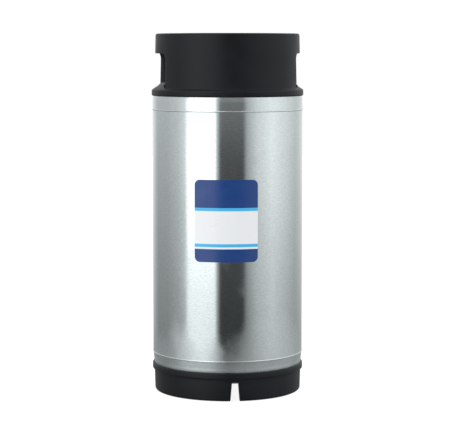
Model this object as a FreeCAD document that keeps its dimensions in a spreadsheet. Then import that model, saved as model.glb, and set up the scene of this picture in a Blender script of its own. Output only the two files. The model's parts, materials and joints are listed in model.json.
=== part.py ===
"""A slim stainless drinks keg with a rubber handle top, a rubber foot, an oval hatch and two ball-lock posts.

Frame: millimetres, +Z up, origin on the floor at the keg's axis. The hand windows face -X and +X, and the
posts stand at -Y (gas) and +Y (liquid). Every size is a cell of the sheet "Sizes" and reaches the features
as an expression. SHAPES names the sizes that follow from others.
"""
import FreeCAD
import Part
import math
import os
import re
import Sketcher

SIZES = {
    # Whole keg
    "total_height": (546.0, "floor to handle rim"),
    "shell_radius": (114.5, "outside of the shell"),
    "shell_wall": (1.2, "sheet of the shell"),
    "head_wall": (1.5, "sheet of the two heads"),
    # Rubber handle top
    "handle_height": (94.0, "underside of the flange to the rim"),
    "handle_overlap": (7.0, "flange underside above the head's knuckle line"),
    "flange_height": (9.0, "straight edge of the flange"),
    "flange_proud": (1.2, "flange beyond the shell"),
    "sill_rise": (12.0, "rise of the sloping sill"),
    "sill_inset": (17.0, "inner lip of the sill, inside the shell's radius"),
    "handle_base_inset": (3.1, "wall outside at the sill, inside the shell's radius"),
    "handle_top_inset": (5.0, "wall outside at the rim, inside the shell's radius"),
    "handle_wall": (8.0, "wall thickness"),
    "handle_embed": (0.8, "wall root sunk in the sill"),
    "rim_height": (30.0, "grip band above the windows"),
    "rim_wall": (12.5, "grip band thickness"),
    "rim_taper": (8.0, "slope under the grip band inside"),
    "rim_round": (2.5, "rounded rim edges"),
    "window_half_width": (48.0, "hand window, half its width"),
    "window_corner": (8.0, "upper corners of the hand window"),
    # Top head
    "top_skirt": (14.0, "straight skirt above the upper weld"),
    "top_knuckle": (28.0, "outside knuckle radius"),
    "top_depth": (43.0, "knuckle line to crown"),
    # Rubber foot
    "foot_height": (43.0, "floor to the top of the lip"),
    "foot_lip_height": (10.0, "height of the lip"),
    "foot_lip_proud": (0.9, "lip beyond the shell"),
    "foot_upper_inset": (1.9, "ring outside under the lip, inside the shell's radius"),
    "foot_lower_inset": (2.9, "ring outside at the floor, inside the shell's radius"),
    "foot_inner_inset": (15.5, "ring inside, inside the shell's radius"),
    "foot_round": (4.0, "rounded floor edge"),
    "slot_top_half": (5.0, "drain slot, half width at its top"),
    "slot_floor_half": (7.3, "drain slot, half width at the floor"),
    "slot_height": (28.5, "drain slot height"),
    # Bottom head
    "bottom_skirt": (11.0, "tapered skirt below the lower weld"),
    "bottom_taper": (1.3, "radius lost over the skirt"),
    "bottom_show": (6.0, "knuckle line above the foot's lip"),
    "bottom_knuckle": (26.0, "outside knuckle radius"),
    "bottom_depth": (34.0, "knuckle line to crown"),
    "sump_radius": (20.0, "sump mouth"),
    "sump_flare": (4.0, "slope of the sump's side"),
    "sump_depth": (5.0, "sump below the crown"),
    # Hatch
    "mouth_half_length": (46.0, "opening along X"),
    "mouth_half_width": (39.0, "opening along Y"),
    "collar_wall": (3.0, "collar sheet"),
    "collar_rise": (3.0, "collar above the crown"),
    "collar_height": (14.0, "collar, top to bottom"),
    "plug_gap": (2.5, "lid plug inside the mouth"),
    "lid_wall": (2.0, "lid sheet"),
    "lid_overlap": (5.0, "lid flange beyond the mouth"),
    "plug_height": (14.0, "lid plug above its flange"),
    "gasket_thickness": (5.5, "lid gasket as squeezed"),
    "gasket_gap": (0.1, "gasket to collar and plug"),
    # Bail
    "bail_wire_radius": (3.0, "bail wire"),
    "bail_axis_offset": (8.0, "bail axis behind the keg's axis"),
    "bail_axis_rise": (13.5, "bail axis above the lid"),
    "bail_reach": (57.0, "bail axis to the grip bar"),
    "bail_half_width": (22.0, "legs of the loop"),
    "bail_foot_margin": (9.0, "bail feet beyond the collar"),
    "bail_root_bend": (6.0, "bend at each ear"),
    "bail_grip_bend": (12.0, "bend at the grip bar"),
    "bail_foot_radius": (5.0, "bail foot"),
    "bail_foot_room": (1.125, "bail foot's top below the wire"),
    "bail_foot_gap": (0.5, "bail foot above the head"),
    "bail_stub": (1.0, "wire end below the foot's centre"),
    "bracket_half_length": (7.0, "bracket along X"),
    "bracket_wall": (1.5, "bracket base"),
    "ear_inside": (28.0, "inner face of each ear"),
    "ear_wall": (3.0, "ear thickness"),
    "pivot_gap": (0.1, "running clearance of pins and stems"),
    # Relief valve
    "relief_offset": (20.0, "valve from the keg's axis along +X"),
    "relief_tube_radius": (9.5, "threaded tube"),
    "relief_bore_radius": (7.0, "bore of the tube"),
    "relief_flange_radius": (13.0, "flange under the lid"),
    "relief_flange_height": (4.0, "flange thickness"),
    "relief_seal_height": (2.0, "flange seal"),
    "relief_seat_radius": (4.0, "valve seat hole"),
    "relief_seat_wall": (2.0, "wall of the seat"),
    "relief_tube_rise": (10.0, "tube above the lid"),
    "relief_cap_height": (3.0, "guide cap"),
    "relief_nut_flats": (24.0, "lock nut across flats"),
    "relief_nut_height": (5.0, "lock nut"),
    "relief_stem_radius": (2.5, "stem"),
    "relief_stem_rise": (21.0, "stem top above the lid"),
    "relief_disc_radius": (5.5, "poppet disc"),
    "relief_disc_height": (1.5, "poppet disc and its seal, each"),
    "relief_coil_radius": (4.3, "spring, mean"),
    "relief_coil_wire": (0.5, "spring wire radius"),
    "relief_coil_turns": (5.0, "spring turns"),
    "ring_radius": (10.0, "pull ring, mean"),
    "ring_wire": (1.0, "pull ring wire radius"),
    "ring_hole_radius": (1.4, "cross hole in the stem"),
    "ring_hole_drop": (3.0, "cross hole below the stem top"),
    "ring_lean": (20.0, "degrees that the ring lies below level"),
    # Posts
    "post_margin": (21.0, "post beyond the bail's foot"),
    "post_seat_drop": (3.5, "bung seat below the crown"),
    "bung_radius": (11.0, "bung boss"),
    "bung_depth": (14.5, "boss below its seat"),
    "nipple_radius": (7.5, "threaded nipple"),
    "nipple_height": (5.5, "nipple above its seat"),
    "thread_gap": (0.1, "clearance of screwed pieces"),
    "bung_bore": (4.5, "bore for the dip tube"),
    "hex_flats": (22.2, "post across flats"),
    "hex_height": (9.5, "post hexagon"),
    "neck_radius": (8.0, "ball groove"),
    "neck_height": (4.0, "ball groove"),
    "shoulder_radius": (9.75, "locking shoulder"),
    "shoulder_height": (5.0, "locking shoulder"),
    "nose_radius": (7.6, "nose"),
    "nose_height": (12.0, "nose"),
    "groove_radius": (5.6, "O-ring groove bottom"),
    "groove_rise": (3.0, "groove above the shoulder"),
    "groove_height": (2.5, "groove"),
    "post_ring_wire": (1.2, "post O-ring section radius"),
    "chamber_radius": (4.5, "poppet chamber"),
    "post_lip": (5.0, "wall over the chamber"),
    "post_mouth_radius": (3.0, "hole in the post's top"),
    "poppet_head_radius": (4.1, "poppet head and seal"),
    "poppet_head_height": (1.5, "poppet head"),
    "poppet_seal_height": (2.0, "poppet seal"),
    "poppet_pin_radius": (2.2, "poppet pin"),
    "poppet_pin_drop": (0.8, "pin below the post's top"),
    "poppet_tail_radius": (1.8, "poppet tail"),
    "poppet_tail_height": (5.0, "poppet tail"),
    "poppet_coil_radius": (3.65, "spring, mean"),
    "poppet_coil_wire": (0.4, "spring wire radius"),
    "poppet_coil_turns": (6.0, "spring turns"),
    # Dip tubes
    "tube_radius": (3.95, "dip tube outside"),
    "tube_wall": (0.8, "dip tube wall"),
    "tube_flange_radius": (6.5, "dip tube flange"),
    "tube_flange_height": (1.2, "dip tube flange"),
    "tube_ring_radius": (5.3, "dip tube O-ring, mean"),
    "tube_ring_wire": (0.9, "dip tube O-ring section radius"),
    "gas_tube_length": (44.0, "short dip tube"),
    "liquid_tube_slant": (45.0, "degrees of the lower run"),
    "liquid_tube_bend": (60.0, "bend radius on the centreline"),
    "liquid_tube_end": (8.0, "lower end from the keg's axis"),
    "liquid_tube_gap": (5.5, "lower end above the sump floor"),
    # Label
    "label_width": (96.0, "plain contents label"),
    "label_height": (122.0, "plain contents label"),
    "label_corner": (8.0, "label corner"),
    "label_thickness": (0.25, "label film"),
    "label_centre": (270.0, "label centre above the floor"),
    "label_turn": (7.0, "degrees from the front towards -X"),
}

SHAPES = {
    # A cut longer than the keg, both ways
    "cut_length": "4 * total_height",
    # Levels from the floor up
    "flange_level": "total_height - handle_height",
    "top_line": "flange_level - handle_overlap",
    "top_weld": "top_line - top_skirt",
    "crown_level": "top_line + top_depth",
    "bottom_line": "foot_height + bottom_show",
    "bottom_weld": "bottom_line + bottom_skirt",
    "belly_level": "bottom_line - bottom_depth",
    "sump_level": "belly_level - sump_depth",
    "lip_level": "foot_height - foot_lip_height",
    "window_level": "total_height - rim_height",
    "collar_top": "crown_level + collar_rise",
    "collar_bottom": "collar_top - collar_height",
    "lid_flange_top": "collar_bottom - gasket_thickness",
    "lid_top": "lid_flange_top + plug_height",
    "bail_axis_level": "lid_top + bail_axis_rise",
    "post_seat": "crown_level - post_seat_drop",
    # Top head: knuckle centre, crown radius and the point where they meet
    "top_centre": "shell_radius - top_knuckle",
    "top_crown": "(top_depth^2 + top_centre^2 - top_knuckle^2) / (2 * (top_depth - top_knuckle))",
    "top_crown_centre": "crown_level - top_crown",
    "top_share": "top_knuckle / (top_crown - top_knuckle)",
    "top_meet_radius": "top_centre * (1 + top_share)",
    "top_meet_level": "top_line + (top_line - top_crown_centre) * top_share",
    # Bottom head, the same way down
    "bottom_radius": "shell_radius - bottom_taper",
    "bottom_centre": "bottom_radius - bottom_knuckle",
    "bottom_crown":
        "(bottom_depth^2 + bottom_centre^2 - bottom_knuckle^2) / (2 * (bottom_depth - bottom_knuckle))",
    "bottom_crown_centre": "belly_level + bottom_crown",
    "bottom_share": "bottom_knuckle / (bottom_crown - bottom_knuckle)",
    "bottom_meet_radius": "bottom_centre * (1 + bottom_share)",
    "bottom_meet_level": "bottom_line + (bottom_line - bottom_crown_centre) * bottom_share",
    # Rubber parts
    "flange_radius": "shell_radius + flange_proud",
    "sill_inner_radius": "shell_radius - sill_inset",
    "handle_base_radius": "shell_radius - handle_base_inset",
    "handle_top_radius": "shell_radius - handle_top_inset",
    "sill_level": "flange_level + flange_height",
    "sill_slope": "sill_rise / (flange_radius - sill_inner_radius)",
    "handle_inner_radius": "handle_base_radius - handle_wall",
    "rim_inner_radius": "handle_top_radius - rim_wall",
    "foot_lip_radius": "shell_radius + foot_lip_proud",
    "foot_upper_radius": "shell_radius - foot_upper_inset",
    "foot_lower_radius": "shell_radius - foot_lower_inset",
    "foot_inner_radius": "shell_radius - foot_inner_inset",
    # Along Y from the keg's axis: the bail's feet outside the collar, the posts outside the feet
    "bail_end": "mouth_half_width + collar_wall + bail_foot_margin",
    "post_offset": "bail_end + post_margin",
    # Hatch
    "plug_half_length": "mouth_half_length - plug_gap",
    "plug_half_width": "mouth_half_width - plug_gap",
    "gasket_radius": "gasket_thickness / 2 - gasket_gap",
    "bail_foot_centre": "top_crown_centre + sqrt((top_crown + bail_foot_radius + bail_foot_gap)^2"
                        " - bail_axis_offset^2 - bail_end^2)",
    "bail_foot_rise": "bail_axis_level - bail_wire_radius - bail_foot_room - bail_foot_centre",
    # Relief valve, above the lid's top
    "relief_flange_top": "-lid_wall - relief_seal_height",
    "relief_bottom": "relief_flange_top - relief_flange_height",
    "relief_seat_top": "relief_bottom + relief_seat_wall",
    "relief_disc_bottom": "relief_seat_top + relief_disc_height",
    "relief_disc_top": "relief_disc_bottom + relief_disc_height",
    "relief_cap_bottom": "relief_tube_rise - relief_cap_height",
    "ring_level": "relief_stem_rise - ring_hole_drop",
    # Posts, above the bung's seat
    "tube_flange_bottom": "nipple_height + 2 * tube_ring_wire",
    "tube_top": "tube_flange_bottom + tube_flange_height",
    "neck_top": "hex_height + neck_height",
    "shoulder_top": "neck_top + shoulder_height",
    "post_top": "shoulder_top + nose_height",
    "groove_bottom": "shoulder_top + groove_rise",
    "chamber_top": "post_top - post_lip",
    "poppet_seal_bottom": "chamber_top - poppet_seal_height",
    "poppet_bottom": "poppet_seal_bottom - poppet_head_height",
    # Liquid dip tube
    "liquid_end_level": "sump_level + head_wall + liquid_tube_gap",
    "liquid_corner": "liquid_end_level + (post_offset - liquid_tube_end) * tan(liquid_tube_slant)",
    "liquid_tangent": "liquid_tube_bend * tan((90 - liquid_tube_slant) / 2)",
}

FULL_TURN = 360
HEX_SIDES = 6
CLOSE = 0.01

doc = FreeCAD.newDocument("Keg")
sheet = doc.addObject("Spreadsheet::Sheet", "Sizes")
pieces = []


def fill_sheet():
    """Writes one row per driving size: its value under an alias, and a note."""
    for row, (alias, (size, note)) in enumerate(SIZES.items(), start=1):
        sheet.set("A%d" % row, note)
        sheet.set("B%d" % row, str(size))
        sheet.setAlias("B%d" % row, alias)
    doc.recompute()


def expand(text):
    """Spells out the named sizes and shapes of an expression for the document."""
    def spell(match):
        word = match.group(0)
        if word in SIZES:
            return "Sizes." + word
        if word in SHAPES:
            return "(" + expand(SHAPES[word]) + ")"
        return word
    return re.sub(r"[a-z_]+", spell, text)


def value(text):
    """The number that an expression stands for now."""
    result = sheet.evalExpression(expand(text))
    return float(getattr(result, "Value", result))


def bind(item, path, text):
    """Binds a property of a document object to an expression."""
    item.setExpression(path, expand(text))


def place(item, x="0", y="0", z="0"):
    """Puts a piece at a bound position."""
    bind(item, ".Placement.Base.x", x)
    bind(item, ".Placement.Base.y", y)
    bind(item, ".Placement.Base.z", z)
    return item


def turn(item, axis, degrees):
    """Turns a piece about an axis by a bound angle."""
    item.Placement.Rotation = FreeCAD.Rotation(FreeCAD.Vector(*axis), value(degrees))
    bind(item, ".Placement.Rotation.Angle", degrees)


def new_body(name, x="0", y="0", z="0"):
    """An empty piece at a bound position."""
    body = doc.addObject("PartDesign::Body", name)
    pieces.append(body)
    return place(body, x, y, z)


def new_sketch(body, role, lift="0"):
    """A sketch on one of the body's own planes, lifted along its normal."""
    sketch = body.newObject("Sketcher::SketchObject", body.Name + "_sketch")
    plane = [item for item in body.Origin.OriginFeatures if item.Role == role][0]
    sketch.AttachmentSupport = [(plane, "")]
    sketch.MapMode = "FlatFace"
    bind(sketch, ".AttachmentOffset.Base.z", lift)
    return sketch


def fix(sketch, kind, text, *places):
    """Adds one dimension and binds it."""
    number = sketch.addConstraint(Sketcher.Constraint(kind, *places, value(text)))
    bind(sketch, "Constraints[%d]" % number, text)


def fix_point(sketch, side, end, x, y):
    """Dimensions a point from the sketch's origin."""
    fix(sketch, "DistanceX", x, -1, 1, side, end)
    fix(sketch, "DistanceY", y, -1, 1, side, end)


def arc_between(start, finish, radius, left):
    """The short arc from start to finish, turning left or right."""
    chord = finish - start
    across = FreeCAD.Vector(-chord.y, chord.x, 0).normalize()
    if not left:
        across = -across
    rise = math.sqrt(max(radius ** 2 - chord.Length ** 2 / 4, 0))
    centre = (start + finish) / 2 + across * rise
    first, last = (start, finish) if left else (finish, start)
    angles = [math.atan2(point.y - centre.y, point.x - centre.x) for point in (first, last)]
    circle = Part.Circle(centre, FreeCAD.Vector(0, 0, 1), radius)
    return Part.ArcOfCircle(circle, angles[0], angles[1])


def draw_path(sketch, corners, closed):
    """Draws sides through the corners. A corner is (x, y), or (x, y, radius, "left" or "right") at an arc."""
    points = [FreeCAD.Vector(value(corner[0]), value(corner[1]), 0) for corner in corners]
    sides = []
    first = 0 if closed else 1
    for number in range(first, len(corners)):
        corner = corners[number]
        start, finish = points[number - 1], points[number]
        if len(corner) == 2:
            side = sketch.addGeometry(Part.LineSegment(start, finish), False)
            sides.append((side, 1, 2))
            continue
        left = corner[3] == "left"
        side = sketch.addGeometry(arc_between(start, finish, value(corner[2]), left), False)
        fix(sketch, "Radius", corner[2], side)
        sides.append((side, 1, 2) if left else (side, 2, 1))
    for number, (side, _, end) in enumerate(sides):
        corner = corners[number + first]
        fix_point(sketch, side, end, corner[0], corner[1])
        if number + 1 < len(sides) or closed:
            follower, begin, _ = sides[(number + 1) % len(sides)]
            sketch.addConstraint(Sketcher.Constraint("Coincident", side, end, follower, begin))
    if not closed:
        fix_point(sketch, sides[0][0], sides[0][1], corners[0][0], corners[0][1])


def draw_circle(sketch, radius, x="0", y="0"):
    """Draws a dimensioned circle."""
    middle = FreeCAD.Vector(value(x), value(y), 0)
    side = sketch.addGeometry(Part.Circle(middle, FreeCAD.Vector(0, 0, 1), value(radius)), False)
    fix(sketch, "Radius", radius, side)
    fix_point(sketch, side, 3, x, y)


def draw_ellipse(sketch, half_length, half_width):
    """Draws an oval about the origin from its half sizes along the sketch's X and Y."""
    lengthways = value(half_length) >= value(half_width)
    tips = [FreeCAD.Vector(value(half_length), 0, 0), FreeCAD.Vector(0, value(half_width), 0)]
    halves = [half_length, half_width]
    if not lengthways:
        tips = [tips[1], -tips[0]]
        halves.reverse()
    side = sketch.addGeometry(Part.Ellipse(tips[0], tips[1], FreeCAD.Vector(0, 0, 0)), False)
    sketch.exposeInternalGeometry(side)
    fix_point(sketch, side, 3, "0", "0")
    sketch.addConstraint(Sketcher.Constraint("Horizontal" if lengthways else "Vertical", side + 1))
    fix(sketch, "Distance", "2 * (%s)" % halves[0], side + 1)
    fix(sketch, "Distance", "2 * (%s)" % halves[1], side + 2)


def draw_hexagon(sketch, flats):
    """Draws a regular hexagon about the origin from its width across flats."""
    corners = []
    for number in range(HEX_SIDES):
        angle = number * FULL_TURN / HEX_SIDES
        reach = "(%s) / sqrt(3)" % flats
        corners.append(("%s * cos(%s)" % (reach, angle), "%s * sin(%s)" % (reach, angle)))
    draw_path(sketch, corners, True)


def add_feature(body, kind, profile):
    """A sketch-based feature on its sketch."""
    feature = body.newObject("PartDesign::" + kind, body.Name + "_" + kind.lower())
    feature.Profile = profile
    return feature


def revolve(body, corners):
    """Turns a closed outline of (radius, height) corners about the body's Z axis."""
    sketch = new_sketch(body, "XZ_Plane")
    draw_path(sketch, corners, True)
    turned = add_feature(body, "Revolution", sketch)
    turned.ReferenceAxis = (sketch, ["V_Axis"])
    turned.Angle = FULL_TURN
    return body


def turned_piece(name, corners, x="0", y="0", z="0"):
    """A piece made on a lathe."""
    return revolve(new_body(name, x, y, z), corners)


def pad(body, sketch, length):
    """Extrudes a sketch along its normal."""
    feature = add_feature(body, "Pad", sketch)
    bind(feature, "Length", length)
    return feature


def cut_through(body, sketch):
    """Cuts a sketch through the whole piece both ways, and checks that it took material away."""
    doc.recompute()
    before = body.Shape.Volume
    feature = add_feature(body, "Pocket", sketch)
    feature.SideType = "Symmetric"
    bind(feature, "Length", "cut_length")
    doc.recompute()
    if not body.Shape.Volume < before:
        raise ValueError(body.Name + ": the cut took nothing away")
    return feature


def round_rings(body, radius, rings):
    """Fillets the circular edges with the given (radius, height)."""
    doc.recompute()
    base = body.Tip
    names = []
    for text_radius, text_level in rings:
        want = (value(text_radius), value(text_level))
        names += [
            "Edge%d" % number
            for number, edge in enumerate(base.Shape.Edges, start=1)
            if isinstance(edge.Curve, Part.Circle)
            and abs(edge.Curve.Radius - want[0]) < CLOSE
            and abs(edge.Curve.Center.z - want[1]) < CLOSE
        ]
    feature = body.newObject("PartDesign::Fillet", body.Name + "_fillet")
    feature.Base = (base, names)
    bind(feature, "Radius", radius)
    return feature


def torus_piece(name, ring_radius, wire_radius, x="0", y="0", z="0"):
    """A round ring lying flat."""
    body = new_body(name, x, y, z)
    sketch = new_sketch(body, "XZ_Plane")
    draw_circle(sketch, wire_radius, ring_radius, "0")
    turned = add_feature(body, "Revolution", sketch)
    turned.ReferenceAxis = (sketch, ["V_Axis"])
    turned.Angle = FULL_TURN
    return body


def coil_piece(name, coil_radius, wire_radius, turns, low, high, x, y, z):
    """A compression spring between two levels."""
    body = new_body(name, x, y, z)
    sketch = new_sketch(body, "XZ_Plane")
    draw_circle(sketch, wire_radius, coil_radius, "%s + %s" % (low, wire_radius))
    coil = add_feature(body, "AdditiveHelix", sketch)
    coil.ReferenceAxis = (sketch, ["V_Axis"])
    coil.Mode = "height-turns-angle"
    bind(coil, "Height", "%s - (%s) - 2 * %s" % (high, low, wire_radius))
    bind(coil, "Turns", turns)
    return body


def pipe(body, radii, profile_role, profile_lift, centre, path_role, path_lift, corners):
    """Sweeps one or two concentric circles along an open path."""
    section = new_sketch(body, profile_role, profile_lift)
    for radius in radii:
        draw_circle(section, radius, centre[0], centre[1])
    route = new_sketch(body, path_role, path_lift)
    draw_path(route, corners, False)
    swept = add_feature(body, "AdditivePipe", section)
    swept.Spine = (route, [])
    return swept


# ---------------------------------------------------------------- tank

def make_shell():
    """The straight tube between the two weld lines."""
    inner = "shell_radius - shell_wall"
    turned_piece("tank_shell", [
        (inner, "bottom_weld"), ("shell_radius", "bottom_weld"),
        ("shell_radius", "top_weld"), (inner, "top_weld"),
    ])


def make_top_head():
    """The dished top with its oval mouth and two bung holes."""
    skirt = "shell_radius - head_wall"
    inner_knuckle = "top_knuckle - head_wall"
    inner_crown = "top_crown - head_wall"
    meet = "(%s) / (top_crown - top_knuckle)" % inner_knuckle
    body = turned_piece("top_head", [
        ("shell_radius", "top_weld"),
        ("shell_radius", "top_line"),
        ("top_meet_radius", "top_meet_level", "top_knuckle", "left"),
        ("0", "crown_level", "top_crown", "left"),
        ("0", "crown_level - head_wall"),
        ("top_centre * (1 + %s)" % meet, "top_line + (top_line - top_crown_centre) * %s" % meet,
         inner_crown, "right"),
        (skirt, "top_line", inner_knuckle, "right"),
        (skirt, "top_weld"),
    ])
    mouth = new_sketch(body, "XY_Plane")
    draw_ellipse(mouth, "mouth_half_length + collar_wall", "mouth_half_width + collar_wall")
    cut_through(body, mouth)
    holes = new_sketch(body, "XY_Plane")
    draw_circle(holes, "bung_radius", "0", "post_offset")
    draw_circle(holes, "bung_radius", "0", "-post_offset")
    cut_through(body, holes)


def make_bottom_head():
    """The dished bottom with a small sump under the liquid tube."""
    skirt = "bottom_radius - head_wall"
    inner_knuckle = "bottom_knuckle - head_wall"
    inner_crown = "bottom_crown - head_wall"
    meet = "(%s) / (bottom_crown - bottom_knuckle)" % inner_knuckle
    flat = "sump_radius - sump_flare"
    turned_piece("bottom_head", [
        ("shell_radius", "bottom_weld"),
        ("bottom_radius", "bottom_line"),
        ("bottom_meet_radius", "bottom_meet_level", "bottom_knuckle", "right"),
        ("sump_radius", "bottom_crown_centre - sqrt(bottom_crown^2 - sump_radius^2)", "bottom_crown", "right"),
        (flat, "sump_level"),
        ("0", "sump_level"),
        ("0", "sump_level + head_wall"),
        (flat, "sump_level + head_wall"),
        ("sump_radius", "bottom_crown_centre - sqrt((%s)^2 - sump_radius^2)" % inner_crown),
        ("bottom_centre * (1 + %s)" % meet,
         "bottom_line + (bottom_line - bottom_crown_centre) * %s" % meet, inner_crown, "left"),
        (skirt, "bottom_line", inner_knuckle, "left"),
        ("shell_radius - head_wall", "bottom_weld"),
    ])


def make_collar():
    """The oval ring welded into the mouth."""
    body = new_body("hatch_collar", z="collar_bottom")
    sketch = new_sketch(body, "XY_Plane")
    draw_ellipse(sketch, "mouth_half_length + collar_wall", "mouth_half_width + collar_wall")
    draw_ellipse(sketch, "mouth_half_length", "mouth_half_width")
    pad(body, sketch, "collar_height")


def make_handle_top():
    """The rubber handle: a wall with two hand windows on a sloping sill that fits the head's knuckle."""
    def sill(radius):
        return "sill_level + (flange_radius - %s) * sill_slope" % radius

    def knuckle(radius):
        return "top_line + sqrt(top_knuckle^2 - (%s - top_centre)^2)" % radius

    body = turned_piece("rubber_top", [
        ("handle_base_radius", sill("handle_base_radius") + " - handle_embed"),
        ("handle_top_radius", "total_height"),
        ("rim_inner_radius", "total_height"),
        ("rim_inner_radius", "window_level"),
        ("handle_inner_radius", "window_level - rim_taper"),
        ("handle_inner_radius", sill("handle_inner_radius") + " - handle_embed"),
    ])
    round_rings(body, "rim_round", [("handle_top_radius", "total_height"), ("rim_inner_radius", "total_height")])
    window = new_sketch(body, "YZ_Plane")
    low = "flange_level"
    draw_path(window, [
        ("-window_half_width", low),
        ("window_half_width", low),
        ("window_half_width", "window_level - window_corner"),
        ("window_half_width - window_corner", "window_level", "window_corner", "left"),
        ("window_corner - window_half_width", "window_level"),
        ("-window_half_width", "window_level - window_corner", "window_corner", "left"),
    ], True)
    cut_through(body, window)
    revolve(body, [
        ("top_centre + sqrt(top_knuckle^2 - (flange_level - top_line)^2)", "flange_level",
         "top_knuckle", "right"),
        ("flange_radius", "flange_level"),
        ("flange_radius", "sill_level"),
        ("sill_inner_radius", "sill_level + sill_rise"),
        ("sill_inner_radius", knuckle("sill_inner_radius")),
    ])


def make_foot():
    """The rubber foot ring with a lip and two drain slots, fitted to the bottom head's knuckle."""
    body = turned_piece("rubber_foot", [
        ("foot_inner_radius", "0"),
        ("foot_lower_radius", "0"),
        ("foot_upper_radius", "lip_level"),
        ("foot_lip_radius", "lip_level"),
        ("foot_lip_radius", "foot_height"),
        ("bottom_centre + sqrt(bottom_knuckle^2 - (bottom_line - foot_height)^2)", "foot_height"),
        ("foot_inner_radius", "bottom_line - sqrt(bottom_knuckle^2 - (foot_inner_radius - bottom_centre)^2)",
         "bottom_knuckle", "right"),
    ])
    round_rings(body, "foot_round", [("foot_lower_radius", "0")])
    slot = new_sketch(body, "XZ_Plane")
    draw_path(slot, [
        ("-slot_floor_half", "0"),
        ("slot_floor_half", "0"),
        ("slot_top_half", "slot_height"),
        ("-slot_top_half", "slot_height"),
    ], True)
    cut_through(body, slot)


def make_label():
    """A plain film on the shell: a rounded rectangle cut out of a thin tube."""
    outer = doc.addObject("Part::Cylinder", "label_outside")
    inner = doc.addObject("Part::Cylinder", "label_inside")
    film = doc.addObject("Part::Cut", "label_tube")
    blank = doc.addObject("PartDesign::Body", "label_blank")
    label = doc.addObject("Part::Common", "contents_label")
    bind(outer, "Radius", "shell_radius + label_thickness")
    bind(inner, "Radius", "shell_radius")
    for item in (outer, inner):
        bind(item, "Height", "total_height")
    film.Base = outer
    film.Tool = inner
    across = "label_width / 2"
    inside = "label_width / 2 - label_corner"
    high = "label_centre + label_height / 2"
    low = "label_centre - label_height / 2"
    outline = new_sketch(blank, "XZ_Plane")
    draw_path(outline, [
        ("-(%s)" % inside, low, "label_corner", "left"),
        (inside, low),
        (across, low + " + label_corner", "label_corner", "left"),
        (across, high + " - label_corner"),
        (inside, high, "label_corner", "left"),
        ("-(%s)" % inside, high),
        ("-" + across, high + " - label_corner", "label_corner", "left"),
        ("-" + across, low + " + label_corner"),
    ], True)
    pad(blank, outline, "2 * shell_radius")
    label.Base = film
    label.Tool = blank
    turn(label, (0, 0, 1), "-label_turn")
    pieces.append(label)


# ---------------------------------------------------------------- hatch

def make_lid():
    """The stamped oval lid: a flange under the mouth and a hollow plug in it, with the relief valve's hole."""
    body = new_body("lid", z="lid_flange_top - lid_wall")
    flange = new_sketch(body, "XY_Plane")
    draw_ellipse(flange, "mouth_half_length + lid_overlap", "mouth_half_width + lid_overlap")
    draw_ellipse(flange, "plug_half_length - lid_wall", "plug_half_width - lid_wall")
    pad(body, flange, "lid_wall")
    plug = new_sketch(body, "XY_Plane")
    draw_ellipse(plug, "plug_half_length", "plug_half_width")
    draw_ellipse(plug, "plug_half_length - lid_wall", "plug_half_width - lid_wall")
    pad(body, plug, "lid_wall + plug_height")
    top = new_sketch(body, "XY_Plane", "plug_height")
    draw_ellipse(top, "plug_half_length", "plug_half_width")
    pad(body, top, "lid_wall")
    hole = new_sketch(body, "XY_Plane")
    draw_circle(hole, "relief_tube_radius + thread_gap", "relief_offset", "0")
    cut_through(body, hole)


def make_gasket():
    """The lid gasket as squeezed: an oval ring round the plug, flat where it meets lid and collar."""
    body = new_body("lid_gasket", z="lid_flange_top")
    sketch = new_sketch(body, "XY_Plane")
    draw_ellipse(sketch, "plug_half_length + gasket_gap + gasket_thickness",
                 "plug_half_width + gasket_gap + gasket_thickness")
    draw_ellipse(sketch, "plug_half_length + gasket_gap", "plug_half_width + gasket_gap")
    pad(body, sketch, "gasket_thickness - gasket_gap")


def make_bracket():
    """The bracket on the lid: a base strip and two ears with the bail's bearing holes."""
    body = new_body("lid_bracket", "-bail_axis_offset", "0", "lid_top")
    width = "ear_inside + ear_wall"
    base = new_sketch(body, "XY_Plane")
    draw_path(base, [
        ("-bracket_half_length", "-(%s)" % width),
        ("bracket_half_length", "-(%s)" % width),
        ("bracket_half_length", width),
        ("-bracket_half_length", width),
    ], True)
    pad(body, base, "bracket_wall")
    for side in ("", "-"):
        lift = "ear_inside" if side else "-(%s)" % width
        ear = new_sketch(body, "XZ_Plane", lift)
        draw_path(ear, [
            ("-bracket_half_length", "0"),
            ("bracket_half_length", "0"),
            ("bracket_half_length", "bail_axis_rise"),
            ("0", "bail_axis_rise + bracket_half_length", "bracket_half_length", "left"),
            ("-bracket_half_length", "bail_axis_rise", "bracket_half_length", "left"),
        ], True)
        draw_circle(ear, "bail_wire_radius + pivot_gap", "0", "bail_axis_rise")
        pad(body, ear, "ear_wall")


def make_bail():
    """The wire bail, shut: a loop towards +X, straight pivots through the ears and a stub down into each foot."""
    body = new_body("bail", "-bail_axis_offset", "0", "bail_axis_level")
    half = "bail_half_width"
    outer = "bail_half_width + bail_root_bend"
    grip = "bail_reach - bail_grip_bend"
    pipe(body, ["bail_wire_radius"], "XZ_Plane", "bail_end", ("0", "0"), "XY_Plane", "0", [
        ("0", "-bail_end"),
        ("0", "-(%s)" % outer),
        ("bail_root_bend", "-" + half, "bail_root_bend", "right"),
        (grip, "-" + half),
        ("bail_reach", "bail_grip_bend - " + half, "bail_grip_bend", "left"),
        ("bail_reach", half + " - bail_grip_bend"),
        (grip, half, "bail_grip_bend", "left"),
        ("bail_root_bend", half),
        ("0", outer, "bail_root_bend", "right"),
        ("0", "bail_end"),
    ])
    for side in ("", "-"):
        stub = new_sketch(body, "XY_Plane")
        draw_circle(stub, "bail_wire_radius", "0", side + "bail_end")
        leg = pad(body, stub, "bail_axis_level - bail_foot_centre + bail_stub")
        leg.Reversed = True


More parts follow.
